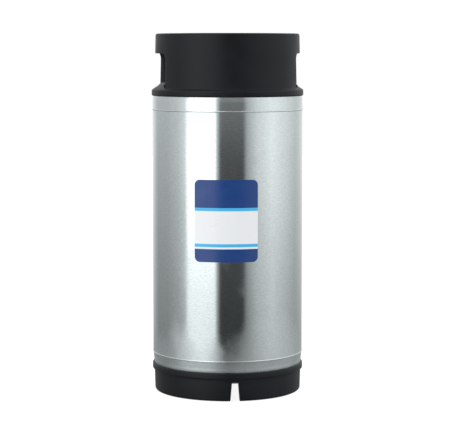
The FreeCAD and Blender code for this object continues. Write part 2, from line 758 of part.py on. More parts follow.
def make_bail_foot(name, side):
    """A boot on the wire's stub, with a round tip that presses on the head."""
    turned_piece(name, [
        ("0", "-bail_foot_radius"),
        ("bail_foot_radius", "0", "bail_foot_radius", "left"),
        ("bail_foot_radius", "bail_foot_rise"),
        ("bail_wire_radius", "bail_foot_rise"),
        ("bail_wire_radius", "-bail_stub"),
        ("0", "-bail_stub"),
    ], "-bail_axis_offset", side + "bail_end", "bail_foot_centre")


# ---------------------------------------------------------------- relief valve

def make_relief_valve():
    """The relief valve, screwed into the lid: each piece stands at the lid's top, on the valve's axis."""
    at = {"x": "relief_offset", "y": "0", "z": "lid_top"}
    bore = "relief_bore_radius"
    tube = "relief_tube_radius"
    turned_piece("relief_body", [
        ("relief_seat_radius", "relief_bottom"),
        ("relief_flange_radius", "relief_bottom"),
        ("relief_flange_radius", "relief_flange_top"),
        (tube, "relief_flange_top"),
        (tube, "relief_tube_rise"),
        (bore, "relief_tube_rise"),
        (bore, "relief_seat_top"),
        ("relief_seat_radius", "relief_seat_top"),
    ], **at)
    turned_piece("relief_seal", [
        (tube + " + thread_gap", "relief_flange_top"),
        ("relief_flange_radius", "relief_flange_top"),
        ("relief_flange_radius", "-lid_wall"),
        (tube + " + thread_gap", "-lid_wall"),
    ], **at)
    nut = new_body("relief_nut", **at)
    sketch = new_sketch(nut, "XY_Plane")
    draw_hexagon(sketch, "relief_nut_flats")
    draw_circle(sketch, tube + " + thread_gap")
    pad(nut, sketch, "relief_nut_height")
    turned_piece("relief_cap", [
        ("relief_stem_radius + pivot_gap", "relief_cap_bottom"),
        (bore + " - thread_gap", "relief_cap_bottom"),
        (bore + " - thread_gap", "relief_tube_rise"),
        ("relief_stem_radius + pivot_gap", "relief_tube_rise"),
    ], **at)
    stem = turned_piece("relief_stem", [
        ("0", "relief_disc_bottom"),
        ("relief_disc_radius", "relief_disc_bottom"),
        ("relief_disc_radius", "relief_disc_top"),
        ("relief_stem_radius", "relief_disc_top"),
        ("relief_stem_radius", "relief_stem_rise"),
        ("0", "relief_stem_rise"),
    ], **at)
    hole = new_sketch(stem, "XZ_Plane")
    draw_circle(hole, "ring_hole_radius", "0", "ring_level")
    cut_through(stem, hole)
    turned_piece("relief_disc_seal", [
        ("0", "relief_seat_top"),
        ("relief_disc_radius", "relief_seat_top"),
        ("relief_disc_radius", "relief_disc_bottom"),
        ("0", "relief_disc_bottom"),
    ], **at)
    coil_piece("relief_spring", "relief_coil_radius", "relief_coil_wire", "relief_coil_turns",
               "relief_disc_top", "relief_cap_bottom", "relief_offset", "0", "lid_top")
    ring = torus_piece("relief_ring", "ring_radius", "ring_wire",
                       "relief_offset + ring_radius * cos(ring_lean)", "0",
                       "lid_top + ring_level - ring_radius * sin(ring_lean)")
    turn(ring, (0, 1, 0), "ring_lean")


# ---------------------------------------------------------------- posts

def make_bung(name, y):
    """The boss welded into the head, with the nipple that the post screws onto."""
    turned_piece(name, [
        ("bung_bore", "-bung_depth"),
        ("bung_radius", "-bung_depth"),
        ("bung_radius", "0"),
        ("nipple_radius", "0"),
        ("nipple_radius", "nipple_height"),
        ("bung_bore", "nipple_height"),
    ], "0", y, "post_seat")


def make_post(name, y):
    """The screwed ball-lock post: hexagon, ball groove, locking shoulder and nose with its O-ring groove."""
    thread = "nipple_radius + thread_gap"
    body = turned_piece(name, [
        (thread, "0"),
        ("hex_flats / 2", "0"),
        ("hex_flats / 2", "hex_height"),
        ("neck_radius", "hex_height"),
        ("neck_radius", "neck_top"),
        ("shoulder_radius", "neck_top"),
        ("shoulder_radius", "shoulder_top"),
        ("nose_radius", "shoulder_top"),
        ("nose_radius", "groove_bottom"),
        ("groove_radius", "groove_bottom"),
        ("groove_radius", "groove_bottom + groove_height"),
        ("nose_radius", "groove_bottom + groove_height"),
        ("nose_radius", "post_top"),
        ("post_mouth_radius", "post_top"),
        ("post_mouth_radius", "chamber_top"),
        ("chamber_radius", "chamber_top"),
        ("chamber_radius", "tube_top"),
        (thread, "tube_top"),
    ], "0", y, "post_seat")
    sketch = new_sketch(body, "XY_Plane")
    draw_hexagon(sketch, "hex_flats")
    draw_circle(sketch, "neck_radius")
    pad(body, sketch, "hex_height")


def make_poppet(side, y):
    """The poppet with its seal and spring, held shut under the post's mouth."""
    at = {"x": "0", "y": y, "z": "post_seat"}
    turned_piece(side + "_poppet", [
        ("0", "poppet_bottom - poppet_tail_height"),
        ("poppet_tail_radius", "poppet_bottom - poppet_tail_height"),
        ("poppet_tail_radius", "poppet_bottom"),
        ("poppet_head_radius", "poppet_bottom"),
        ("poppet_head_radius", "poppet_seal_bottom"),
        ("poppet_pin_radius", "poppet_seal_bottom"),
        ("poppet_pin_radius", "post_top - poppet_pin_drop"),
        ("0", "post_top - poppet_pin_drop"),
    ], **at)
    turned_piece(side + "_poppet_seal", [
        ("poppet_pin_radius", "poppet_seal_bottom"),
        ("poppet_head_radius", "poppet_seal_bottom"),
        ("poppet_head_radius", "chamber_top"),
        ("poppet_pin_radius", "chamber_top"),
    ], **at)
    coil_piece(side + "_poppet_spring", "poppet_coil_radius", "poppet_coil_wire", "poppet_coil_turns",
               "tube_top", "poppet_bottom", "0", y, "post_seat")


def make_gas_tube(y):
    """The short dip tube that lets gas in under the head."""
    inner = "tube_radius - tube_wall"
    low = "tube_flange_bottom - gas_tube_length"
    turned_piece("gas_dip_tube", [
        (inner, low),
        ("tube_radius", low),
        ("tube_radius", "tube_flange_bottom"),
        ("tube_flange_radius", "tube_flange_bottom"),
        ("tube_flange_radius", "tube_top"),
        (inner, "tube_top"),
    ], "0", y, "post_seat")


def make_liquid_tube():
    """The long dip tube, bent once so that it draws from the sump."""
    body = new_body("liquid_dip_tube")
    inner = "tube_radius - tube_wall"
    centre = ("0", "post_offset")
    top = "post_seat + tube_flange_bottom"
    pipe(body, ["tube_radius", inner], "XY_Plane", top, centre, "YZ_Plane", "0", [
        ("post_offset", top),
        ("post_offset", "liquid_corner + liquid_tangent"),
        ("post_offset - liquid_tangent * cos(liquid_tube_slant)",
         "liquid_corner - liquid_tangent * sin(liquid_tube_slant)", "liquid_tube_bend", "right"),
        ("liquid_tube_end", "liquid_end_level"),
    ])
    flange = new_sketch(body, "XY_Plane", top)
    draw_circle(flange, "tube_flange_radius", *centre)
    draw_circle(flange, inner, *centre)
    pad(body, flange, "tube_flange_height")


def make_connector(side, y):
    """Everything that screws into the head on one side, apart from the dip tube."""
    make_bung(side + "_bung", y)
    make_post(side + "_post", y)
    make_poppet(side, y)
    torus_piece(side + "_post_oring", "groove_radius + post_ring_wire", "post_ring_wire", "0", y,
                "post_seat + groove_bottom + groove_height / 2")
    torus_piece(side + "_tube_oring", "tube_ring_radius", "tube_ring_wire", "0", y,
                "post_seat + nipple_height + tube_ring_wire")


def build():
    """Makes every piece."""
    fill_sheet()
    make_shell()
    make_top_head()
    make_bottom_head()
    make_collar()
    make_handle_top()
    make_foot()
    make_label()
    make_lid()
    make_gasket()
    make_bracket()
    make_bail()
    make_bail_foot("bail_foot_gas_side", "-")
    make_bail_foot("bail_foot_liquid_side", "")
    make_relief_valve()
    make_connector("gas", "-post_offset")
    make_connector("liquid", "post_offset")
    make_gas_tube("-post_offset")
    make_liquid_tube()
    doc.recompute()


def check():
    """Refuses a document with a failed feature or a bad piece."""
    for item in doc.Objects:
        if "Invalid" in item.State or "Error" in item.State:
            raise ValueError(item.Name + " failed: " + ", ".join(item.State))
    for piece in pieces:
        if piece.Shape.isNull() or not piece.Shape.isValid() or len(piece.Shape.Solids) != 1:
            raise ValueError(piece.Label + " is not one valid solid")


def write():
    """Writes one file per piece."""
    os.makedirs("parts", exist_ok=True)
    for piece in pieces:
        piece.Shape.exportStep("parts/%s.step" % piece.Label)


build()
check()
write()
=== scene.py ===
"""Finished look of a slim stainless drinks keg: rubber handle top and foot, steel tank, hatch and connectors.

Everything is in metres, on the keg's own axis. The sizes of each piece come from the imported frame's boxes.
"""

import json
import math

import bmesh
import bpy
from bpy.props import FloatProperty, FloatVectorProperty, PointerProperty
from mathutils import Matrix, Vector


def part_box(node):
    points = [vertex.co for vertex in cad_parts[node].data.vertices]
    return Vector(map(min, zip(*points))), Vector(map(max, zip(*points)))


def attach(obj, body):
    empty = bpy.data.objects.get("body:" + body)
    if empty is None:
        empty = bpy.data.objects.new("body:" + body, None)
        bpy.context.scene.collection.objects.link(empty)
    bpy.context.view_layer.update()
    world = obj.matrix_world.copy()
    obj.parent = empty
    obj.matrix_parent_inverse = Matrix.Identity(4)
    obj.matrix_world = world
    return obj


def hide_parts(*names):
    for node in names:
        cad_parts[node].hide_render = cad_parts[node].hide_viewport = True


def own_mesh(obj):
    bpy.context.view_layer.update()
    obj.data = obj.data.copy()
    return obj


bl_info = {
    "name": "Drinks Keg",
    "version": (1, 0, 0),
    "blender": (4, 5, 0),
    "location": "3D View > Sidebar > Keg",
    "description": "Builds a stainless drinks keg with rubber handle and foot, hatch and connectors",
    "category": "Add Mesh",
}

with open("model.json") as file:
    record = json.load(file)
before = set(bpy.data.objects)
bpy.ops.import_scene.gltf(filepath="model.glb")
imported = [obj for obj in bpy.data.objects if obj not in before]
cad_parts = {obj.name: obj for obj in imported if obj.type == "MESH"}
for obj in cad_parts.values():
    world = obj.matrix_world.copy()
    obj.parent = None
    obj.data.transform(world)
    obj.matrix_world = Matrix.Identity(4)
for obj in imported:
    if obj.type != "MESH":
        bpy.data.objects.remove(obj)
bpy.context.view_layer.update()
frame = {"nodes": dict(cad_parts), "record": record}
TURN = 2 * math.pi
MM = 0.001
TINY = 1e-6

# The studio's walls: degrees from the front towards +X, and brightness. Then its ceiling and its ground.
WALLS = [(-180, 0.74), (-165, 0.72), (-140, 0.42), (-110, 0.46), (-87, 0.6), (-74, 0.82), (-68, 1.7),
         (-25, 1.65), (-22, 0.6), (-17, 0.078), (18, 0.076), (24, 0.42), (40, 0.76), (65, 1.0), (90, 0.82),
         (120, 0.6), (150, 0.68), (180, 0.74)]
CEILING = 0.55
GROUND = 0.34


# ---------------------------------------------------------------- sizes and colours

def length(name, description, default):
    """A length property in metres."""
    return FloatProperty(name=name, description=description, default=default, unit="LENGTH", precision=5)


def colour(name, description, default):
    """A colour property."""
    return FloatVectorProperty(name=name, description=description, default=default, subtype="COLOR", size=3)


class KegTankSizes(bpy.types.PropertyGroup):
    """Sizes of the steel tank"""
    weld_rise: length("Weld Rise", "Height of a weld bead above the sheet", 0.45 * MM)
    weld_width: length("Weld Width", "Width of a weld bead", 2.2 * MM)
    sheet: length("Sheet", "Thickness of the steel sheet", 1.2 * MM)
    knuckle: length("Top Knuckle", "Outside radius of the top head's knuckle", 28 * MM)
    foot_knuckle: length("Bottom Knuckle", "Outside radius of the bottom head's knuckle", 26 * MM)
    foot_taper: length("Bottom Taper", "Radius that the bottom head loses over its skirt", 1.3 * MM)
    label_width: length("Label Width", "Width of the label around the shell", 96 * MM)
    label_height: length("Label Height", "Height of the label", 122 * MM)
    label_corner: length("Label Corner", "Corner radius of the label", 8 * MM)
    label_film: length("Label Film", "Thickness of the label", 0.2 * MM)


class KegHandleSizes(bpy.types.PropertyGroup):
    """Sizes of the rubber handle top"""
    overlap: length("Overlap", "Underside above the head's knuckle line", 7 * MM)
    flange: length("Flange", "Height of the flange's straight edge", 9 * MM)
    sill_lip: length("Sill Lip", "Inside radius of the sill", 97.5 * MM)
    sill_rise: length("Sill Rise", "Rise of the sloping sill", 12 * MM)
    wall_outer: length("Wall Outside", "Outside radius of the wall at the sill", 111.4 * MM)
    wall_inner: length("Wall Inside", "Inside radius of the wall", 103.4 * MM)
    rim_outer: length("Rim Outside", "Outside radius of the rim", 109.5 * MM)
    rim_inner: length("Rim Inside", "Inside radius of the rim", 97 * MM)
    rim_height: length("Rim Height", "Height of the rim above the hand windows", 30 * MM)
    rim_round: length("Rim Round", "Rounding of the rim", 3 * MM)
    edge_round: length("Edge Round", "Rounding of the hand windows", 1.6 * MM)
    window_half: length("Window Half Width", "Half the width of a hand window", 48 * MM)
    window_corner: length("Window Corner", "Corner radius of a hand window", 9 * MM)


class KegFootSizes(bpy.types.PropertyGroup):
    """Sizes of the rubber foot ring"""
    show: length("Show", "Head's knuckle line above the foot", 6 * MM)
    lip_height: length("Lip Height", "Height of the lip", 10 * MM)
    upper: length("Upper Radius", "Outside radius under the lip", 112.6 * MM)
    lower: length("Lower Radius", "Outside radius at the floor", 111.6 * MM)
    inner: length("Inner Radius", "Inside radius", 99 * MM)
    floor_round: length("Floor Round", "Rounding of the outside edge at the floor", 4 * MM)
    slot_floor: length("Slot At Floor", "Half width of a drain slot at the floor", 7.3 * MM)
    slot_top: length("Slot At Top", "Half width of a drain slot at its top", 5 * MM)
    slot_height: length("Slot Height", "Height of a drain slot", 28.5 * MM)
    slot_round: length("Slot Round", "Rounding of a drain slot's edges", 0.7 * MM)


class KegHatchSizes(bpy.types.PropertyGroup):
    """Sizes of the hatch, its bail and its relief valve"""
    collar_wall: length("Collar Wall", "Thickness of the collar", 3 * MM)
    lid_sheet: length("Lid Sheet", "Thickness of the lid", 2 * MM)
    plug_reach: length("Plug Reach", "Half length of the lid's plug", 43.5 * MM)
    bail_wire: length("Bail Wire", "Radius of the bail's wire", 3 * MM)
    bail_leg: length("Bail Leg", "Half width of the bail's loop", 22 * MM)
    bracket_sheet: length("Bracket Sheet", "Thickness of the bracket's base", 1.5 * MM)
    ear: length("Ear", "Thickness of the bracket's ears", 3 * MM)
    ear_hole: length("Ear Hole", "Radius of the hole in an ear", 3.1 * MM)
    valve_tube: length("Valve Tube", "Outside radius of the valve's tube", 9.5 * MM)
    valve_bore: length("Valve Bore", "Inside radius of the valve's tube", 7 * MM)
    valve_hole: length("Valve Hole", "Radius of the hole in the lid and the nut", 9.6 * MM)
    valve_lift: length("Valve Lift", "Travel of the valve's stem", 3 * MM)


class KegPostSizes(bpy.types.PropertyGroup):
    """Sizes of the two ball-lock posts"""
    bore: length("Bore", "Radius of a post's bore", 4.5 * MM)
    boss: length("Boss", "Radius of the boss under a post", 11 * MM)
    neck: length("Neck", "Radius of the boss's threaded neck", 7.5 * MM)
    press: length("Press", "Travel of a post's poppet", 4 * MM)


class KegColours(bpy.types.PropertyGroup):
    """Colours of the finishes"""
    steel: colour("Steel", "Drawn stainless sheet", (0.585, 0.64, 0.645))
    rubber: colour("Rubber", "Moulded rubber", (0.0038, 0.005, 0.007))
    label_ground: colour("Label Ground", "Label's plain ground", (0.76, 0.78, 0.8))
    label_band: colour("Label Band", "Label's dark band", (0.002, 0.04, 0.19))
    label_stripe: colour("Label Stripe", "Label's light stripe", (0.05, 0.42, 0.75))


class KegStageSizes(bpy.types.PropertyGroup):
    """Camera and studio"""
    camera_distance: length("Camera Distance", "Camera to the keg's axis", 2.68)
    camera_turn: FloatProperty(name="Camera Turn", description="Degrees from the front towards -X", default=6.0)
    camera_pitch: FloatProperty(name="Camera Pitch", description="Degrees that it looks down", default=5.27)
    camera_drop: length("Camera Drop", "Camera below the rim", 25.5 * MM)
    lens: FloatProperty(name="Lens", description="Focal length in millimetres", default=138.6)
    floor_radius: length("Floor Radius", "Radius of the floor disc", 6.0)


# ---------------------------------------------------------------- mesh helpers

def low(node):
    """Lowest corner of a CAD node."""
    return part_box(node)[0]


def high(node):
    """Highest corner of a CAD node."""
    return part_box(node)[1]


def centre_of(node):
    """Middle of a CAD node's box."""
    return (low(node) + high(node)) / 2


def shift(bm, place):
    """Moves a whole mesh."""
    bmesh.ops.translate(bm, verts=bm.verts[:], vec=place)


def tilt(bm, angle, axis):
    """Turns a whole mesh about the origin."""
    bmesh.ops.rotate(bm, verts=bm.verts[:], cent=(0, 0, 0), matrix=Matrix.Rotation(angle, 3, axis))


def face_outwards(bm):
    """Points every face outwards."""
    bmesh.ops.recalc_face_normals(bm, faces=bm.faces[:])


def round_edges(bm, edges, radius):
    """Rounds some edges."""
    bmesh.ops.bevel(bm, geom=edges, offset=radius, offset_type="OFFSET", affect="EDGES", segments=3,
                    profile=0.5, material=-1, clamp_overlap=True)


def profile(corners, closed=True, steps=4):
    """Points along a turned piece's outline, from corners of (radius, level, rounding)."""
    return rounded([((radius, level, 0), bend) for radius, level, bend in corners], closed, steps)


def rounded(corners, closed=True, steps=4):
    """Points along an outline. A corner is (point, radius), and a radius above zero rounds it with an arc.

    A corner that lies in line with its neighbours stays as it is.
    """
    points = []
    count = len(corners)
    for number, (corner, radius) in enumerate(corners):
        corner = Vector(corner)
        back = (Vector(corners[number - 1][0]) - corner).normalized()
        ahead = (Vector(corners[(number + 1) % count][0]) - corner).normalized()
        is_end = not closed and number in (0, count - 1)
        if radius <= 0 or is_end or (back + ahead).length < TINY:
            points.append(corner)
            continue
        half = back.angle(ahead) / 2
        middle = corner + (back + ahead).normalized() * (radius / math.sin(half))
        start = corner + back * (radius / math.tan(half)) - middle
        finish = corner + ahead * (radius / math.tan(half)) - middle
        for step in range(steps + 1):
            points.append(middle + start.normalized().slerp(finish.normalized(), step / steps) * radius)
    return points


def spin_outline(bm, points, segments, closed=True):
    """Turns (radius, height) points about the Z axis and joins the seam and the poles."""
    verts = [bm.verts.new((point[0], 0, point[1])) for point in points]
    pairs = list(zip(verts, verts[1:]))
    if closed:
        pairs.append((verts[-1], verts[0]))
    edges = [bm.edges.new(pair) for pair in pairs if (pair[0].co.x, pair[1].co.x) != (0, 0)]
    bmesh.ops.spin(bm, geom=verts + edges, cent=(0, 0, 0), axis=(0, 0, 1), dvec=(0, 0, 0), angle=TURN,
                   steps=segments, use_merge=True, use_duplicate=False)
    bmesh.ops.remove_doubles(bm, verts=bm.verts[:], dist=TINY)
    face_outwards(bm)


def finish_piece(bm, name, body, material, nodes=(), sharp=35):
    """Makes the object of a mesh, shades it and ties it to the frame."""
    if bm.calc_volume(signed=True) < 0:
        bmesh.ops.reverse_faces(bm, faces=bm.faces[:])
    mesh = bpy.data.meshes.new(name)
    bm.to_mesh(mesh)
    bm.free()
    mesh.polygons.foreach_set("use_smooth", [True] * len(mesh.polygons))
    mesh.set_sharp_from_angle(angle=math.radians(sharp))
    piece = bpy.data.objects.new(name, mesh)
    bpy.context.scene.collection.objects.link(piece)
    mesh.materials.append(material)
    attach(piece, body)
    if nodes:
        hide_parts(*nodes)
    return piece


def spun_piece(name, corners, segments, body, material, nodes=(), at=(0, 0, 0), steps=4, oval=0.0):
    """A turned piece from corners of (radius, level, rounding), moved to its place."""
    bm = bmesh.new()
    spin_outline(bm, profile(corners, steps=steps), segments)
    if oval:
        make_oval(bm, oval)
    shift(bm, at)
    return finish_piece(bm, name, body, material, nodes)


def make_oval(bm, shortfall):
    """Turns a round piece into an oval one, the same amount narrower along Y at every size."""
    for vert in bm.verts:
        radius = math.hypot(vert.co.x, vert.co.y)
        if radius > TINY:
            vert.co.y *= max(radius - shortfall * min(1.0, radius / (3 * shortfall)), 0) / radius


def polar(vert):
    """Radius and angle of a vertex about the keg's axis."""
    return math.hypot(vert.co.x, vert.co.y), math.atan2(vert.co.y, vert.co.x)


def off_axis(angle, centre):
    """Signed angle from a centre direction, between minus and plus half a turn."""
    return (angle - centre + math.pi) % TURN - math.pi


def set_polar(vert, radius, angle, level):
    """Puts a vertex at a radius, angle and level."""
    vert.co = (radius * math.cos(angle), radius * math.sin(angle), level)


def open_gap(bm, centre, half_angle, top, split_radius):
    """Takes a ring's faces out of a gap below a level.

    It returns the rows of edges along the gap's outside and inside.
    """
    slack = 1e-4
    doomed = []
    for face in bm.faces:
        spot = face.calc_center_median()
        turn = abs(off_axis(math.atan2(spot.y, spot.x), centre))
        if turn < half_angle and all(vert.co.z < top + slack for vert in face.verts):
            doomed.append(face)
    bmesh.ops.delete(bm, geom=doomed, context="FACES")
    rows = ([], [])
    for edge in bm.edges:
        if not edge.is_boundary:
            continue
        if any(abs(off_axis(polar(vert)[1], centre)) > half_angle + slack * 10 for vert in edge.verts):
            continue
        outside = [polar(vert)[0] > split_radius for vert in edge.verts]
        if all(outside):
            rows[0].append(edge)
        elif not any(outside):
            rows[1].append(edge)
    return rows


def close_gap(bm, rows, edge_round):
    """Walls a gap between its outside and inside rows, and rounds its edges."""
    bmesh.ops.bridge_loops(bm, edges=rows[0] + rows[1])
    face_outwards(bm)
    round_edges(bm, [edge for edge in rows[0] + rows[1] if edge.is_valid], edge_round)


def verts_of(edges):
    """The vertices of some edges, once each."""
    return {vert for edge in edges for vert in edge.verts}


def add_nut(bm, flats, bore, bottom, top, segments=72):
    """Adds a hexagonal nut about the Z axis, with its corners chamfered at both faces."""
    nut = bmesh.new()
    flat_radius = flats / 2
    face_radius = flat_radius * 0.95
    slope = math.tan(math.radians(30))
    sixth = math.pi / 3
    spin_outline(nut, [(bore, bottom), (face_radius, bottom), (flat_radius, bottom), (flat_radius, top),
                       (face_radius, top), (bore, top)], segments)
    for vert in nut.verts:
        radius, angle = polar(vert)
        if radius < flat_radius - TINY:
            continue
        corner = (angle + sixth / 2) % sixth - sixth / 2
        reach = flat_radius / math.cos(corner)
        drop = (reach - face_radius) * slope
        set_polar(vert, reach, angle, vert.co.z + (drop if vert.co.z < (bottom + top) / 2 else -drop))
    join_mesh(bm, nut)


def join_mesh(bm, other):
    """Adds a second mesh to the first."""
    holder = bpy.data.meshes.new("holder")
    other.to_mesh(holder)
    other.free()
    bm.from_mesh(holder)
    bpy.data.meshes.remove(holder)


def add_plate(bm, reach_at, hole, thickness, edge_round, segments=72):
    """Adds a flat plate with a round hole, standing in the XZ plane about the hole's centre.

    The outline is given as its reach from the centre at each angle.
    """
    plate = bmesh.new()
    bmesh.ops.create_circle(plate, radius=hole, segments=segments)
    outer = bmesh.ops.create_circle(plate, radius=hole * 2, segments=segments)["verts"]
    for vert in outer:
        angle, reach = reach_at(math.atan2(vert.co.y, vert.co.x))
        vert.co = (reach * math.cos(angle), reach * math.sin(angle), 0)
    bmesh.ops.bridge_loops(plate, edges=plate.edges[:])
    raised = bmesh.ops.extrude_face_region(plate, geom=plate.faces[:], use_keep_orig=True)["geom"]
    lifted = [item for item in raised if isinstance(item, bmesh.types.BMVert)]
    bmesh.ops.translate(plate, verts=lifted, vec=(0, 0, thickness))
    tilt(plate, math.pi / 2, "X")
    shift(plate, (0, thickness / 2, 0))
    face_outwards(plate)
    steep = math.radians(69)
    rims = [edge for edge in plate.edges if edge.calc_face_angle(0) > steep and edge.calc_length() > TINY]
    round_edges(plate, rims, edge_round)
    join_mesh(bm, plate)


def add_block(bm, half_x, half_y, bottom, top, edge_round):
    """Adds a box with rounded edges about the Z axis."""
    block = bmesh.new()
    bmesh.ops.create_cube(block, size=1.0)
    for vert in block.verts:
        vert.co.x *= 2 * half_x
        vert.co.y *= 2 * half_y
        vert.co.z = bottom + (top - bottom) * (vert.co.z + 0.5)
    round_edges(block, block.edges[:], edge_round)
    join_mesh(bm, block)


def punch(bm, across, radius, bottom, top):
    """Cuts a round hole through a piece, upright at a distance along X."""
    cutter = bmesh.new()
    bmesh.ops.create_cone(cutter, cap_ends=True, segments=64, radius1=radius, radius2=radius,
                          depth=top - bottom)
    shift(cutter, (across, 0, (top + bottom) / 2))
    holders = []
    for shape in (bm, cutter):
        mesh = bpy.data.meshes.new("holder")
        shape.to_mesh(mesh)
        holders.append(bpy.data.objects.new("holder", mesh))
        bpy.context.scene.collection.objects.link(holders[-1])
    cutter.free()
    cut = holders[0].modifiers.new("cut", "BOOLEAN")
    cut.operation = "DIFFERENCE"
    cut.solver = "EXACT"
    cut.object = holders[1]
    result = bpy.data.meshes.new_from_object(holders[0].evaluated_get(bpy.context.evaluated_depsgraph_get()))
    bm.clear()
    bm.from_mesh(result)
    bpy.data.meshes.remove(result)
    for holder in holders:
        mesh = holder.data
        bpy.data.objects.remove(holder)
        bpy.data.meshes.remove(mesh)


def spring_piece(name, node, wire, turns, body):
    """A wound spring in a CAD spring's box."""
    base, top, middle = low(node), high(node), centre_of(node)
    tall = top.z - base.z
    reach = (top.y - base.y) / 2 - wire
    steps = int(turns * 36)
    bm = bmesh.new()
    bmesh.ops.create_circle(bm, radius=wire, segments=12)
    tilt(bm, math.pi / 2, "X")
    shift(bm, (reach, 0, base.z + wire))
    bmesh.ops.spin(bm, geom=bm.verts[:] + bm.edges[:], cent=(0, 0, 0), axis=(0, 0, 1),
                   dvec=(0, 0, (tall - 2 * wire) / steps), angle=TURN * turns, steps=steps,
                   use_merge=False, use_duplicate=False)
    bmesh.ops.holes_fill(bm, edges=[edge for edge in bm.edges if edge.is_boundary])
    face_outwards(bm)
    shift(bm, (middle.x, middle.y, 0))
    piece = finish_piece(bm, name, body, finishes()["wire"], [node])
    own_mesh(piece)
    return piece


def ring_piece(name, node, wire, body, material, leaning=False):
    """A round ring that fits a CAD ring's box, leaning about Y as far as the box says if it leans."""
    base, top = low(node), high(node)
    reach = (top.y - base.y) / 2 - wire
    bm = bmesh.new()
    steps = 24
    spin_outline(bm, [(reach + wire * math.cos(TURN * step / steps), wire * math.sin(TURN * step / steps))
                      for step in range(steps)], 96)
    if leaning:
        tilt(bm, math.asin(((top.z - base.z) / 2 - wire) / reach), "Y")
    shift(bm, centre_of(node))
    return finish_piece(bm, name, body, material, [node])


def wire_piece(name, corners, radius, body, material, nodes):
    """A bent round wire along rounded corners, as a closed mesh."""
    curve = bpy.data.curves.new(name, "CURVE")
    curve.dimensions = "3D"
    curve.bevel_depth = radius
    curve.bevel_resolution = 7
    curve.use_fill_caps = True
    points = rounded([(Vector(spot), bend) for spot, bend in corners], False, 10)
    spline = curve.splines.new("POLY")
    spline.points.add(len(points) - 1)
    for target, point in zip(spline.points, points):
        target.co = (*point, 1)
    holder = bpy.data.objects.new(name + "_route", curve)
    bpy.context.scene.collection.objects.link(holder)
    shape = bpy.data.meshes.new_from_object(holder.evaluated_get(bpy.context.evaluated_depsgraph_get()))
    bpy.data.objects.remove(holder)
    bm = bmesh.new()
    bm.from_mesh(shape)
    bpy.data.meshes.remove(shape)
    bmesh.ops.remove_doubles(bm, verts=bm.verts[:], dist=TINY)
    return finish_piece(bm, name, body, material, nodes)


# ---------------------------------------------------------------- materials

def new_finish(name, base, metallic, roughness):
    """A material with its shader, and its node tree."""
    material = bpy.data.materials.new(name)
    material.use_nodes = True
    shader = material.node_tree.nodes["Principled BSDF"]
    shader.inputs["Base Color"].default_value = (*base, 1)
    shader.inputs["Metallic"].default_value = metallic
    shader.inputs["Roughness"].default_value = roughness
    return material, material.node_tree, shader


def object_noise(tree, scale, stretch=(1, 1, 1), detail=4.0):
    """Noise on the piece's own coordinates, stretched along its axes."""
    coords = tree.nodes.new("ShaderNodeTexCoord")
    mapping = tree.nodes.new("ShaderNodeMapping")
    mapping.inputs["Scale"].default_value = stretch
    noise = tree.nodes.new("ShaderNodeTexNoise")
    noise.inputs["Scale"].default_value = scale
    noise.inputs["Detail"].default_value = detail
    tree.links.new(coords.outputs["Object"], mapping.inputs["Vector"])
    tree.links.new(mapping.outputs["Vector"], noise.inputs["Vector"])
    return noise


def spread(tree, source, to_low, to_high, from_low=0.3, from_high=0.7):
    """Maps a noise's range onto another."""
    node = tree.nodes.new("ShaderNodeMapRange")
    limits = {"From Min": from_low, "From Max": from_high, "To Min": to_low, "To Max": to_high}
    for name, number in limits.items():
        node.inputs[name].default_value = number
    tree.links.new(source, node.inputs["Value"])
    return node.outputs["Result"]


def tint(tree, source, dark, light, from_low=0.3, from_high=0.7):
    """A colour that runs from dark to light with a noise."""
    node = tree.nodes.new("ShaderNodeMix")
    node.data_type = "RGBA"
    node.inputs[6].default_value = (*dark, 1)
    node.inputs[7].default_value = (*light, 1)
    tree.links.new(spread(tree, source, 0, 1, from_low, from_high), node.inputs[0])
    return node.outputs[2]


def add_bump(tree, shader, source, depth):
    """Surface relief of a depth in metres."""
    bump = tree.nodes.new("ShaderNodeBump")
    bump.inputs["Strength"].default_value = 1.0
    bump.inputs["Distance"].default_value = depth
    tree.links.new(source, bump.inputs["Height"])
    tree.links.new(bump.outputs["Normal"], shader.inputs["Normal"])


def scaled(base, factor):
    """A colour made lighter or darker."""
    return tuple(min(channel * factor, 1) for channel in base)


def make_steel(name, base, roughness, grain, hazy=False):
    """Drawn stainless: level grain, soft cloudy wear and small changes of tone.

    A hazy sheet is duller in patches and near the floor.
    """
    material, tree, shader = new_finish(name, base, 1.0, roughness)
    clouds = object_noise(tree, 14, (1, 1, 0.55), 6)
    grains = object_noise(tree, 240, (1, 1, 2.5), 5)
    lines = object_noise(tree, 60, (1, 1, 22), 3)
    tone = add_step(tree, "MULTIPLY_ADD", clouds.outputs["Fac"], 0.55, grains.outputs["Fac"])
    tree.links.new(tint(tree, tone, scaled(base, 0.9), scaled(base, 1.08), 0.55, 1.0),
                   shader.inputs["Base Color"])
    rough = spread(tree, clouds.outputs["Fac"], roughness * 0.8, roughness * 1.3)
    if hazy:
        dullest = 0.4
        patches = object_noise(tree, 22, (1, 1, 0.8), 3)
        coords = tree.nodes.new("ShaderNodeTexCoord")
        split = tree.nodes.new("ShaderNodeSeparateXYZ")
        tree.links.new(coords.outputs["Object"], split.inputs["Vector"])
        foot = spread(tree, split.outputs["Z"], 1.0, 0.0, 50 * MM, 130 * MM)
        patch = spread(tree, patches.outputs["Fac"], 0.0, 0.7, 0.35, 0.7)
        dull = spread(tree, add_step(tree, "ADD", foot, patch), 0.0, 1.0, 0.45, 1.6)
        rough = add_step(tree, "MULTIPLY_ADD", dull, dullest, rough)
    tree.links.new(rough, shader.inputs["Roughness"])
    add_bump(tree, shader, lines.outputs["Fac"], grain)
    return material


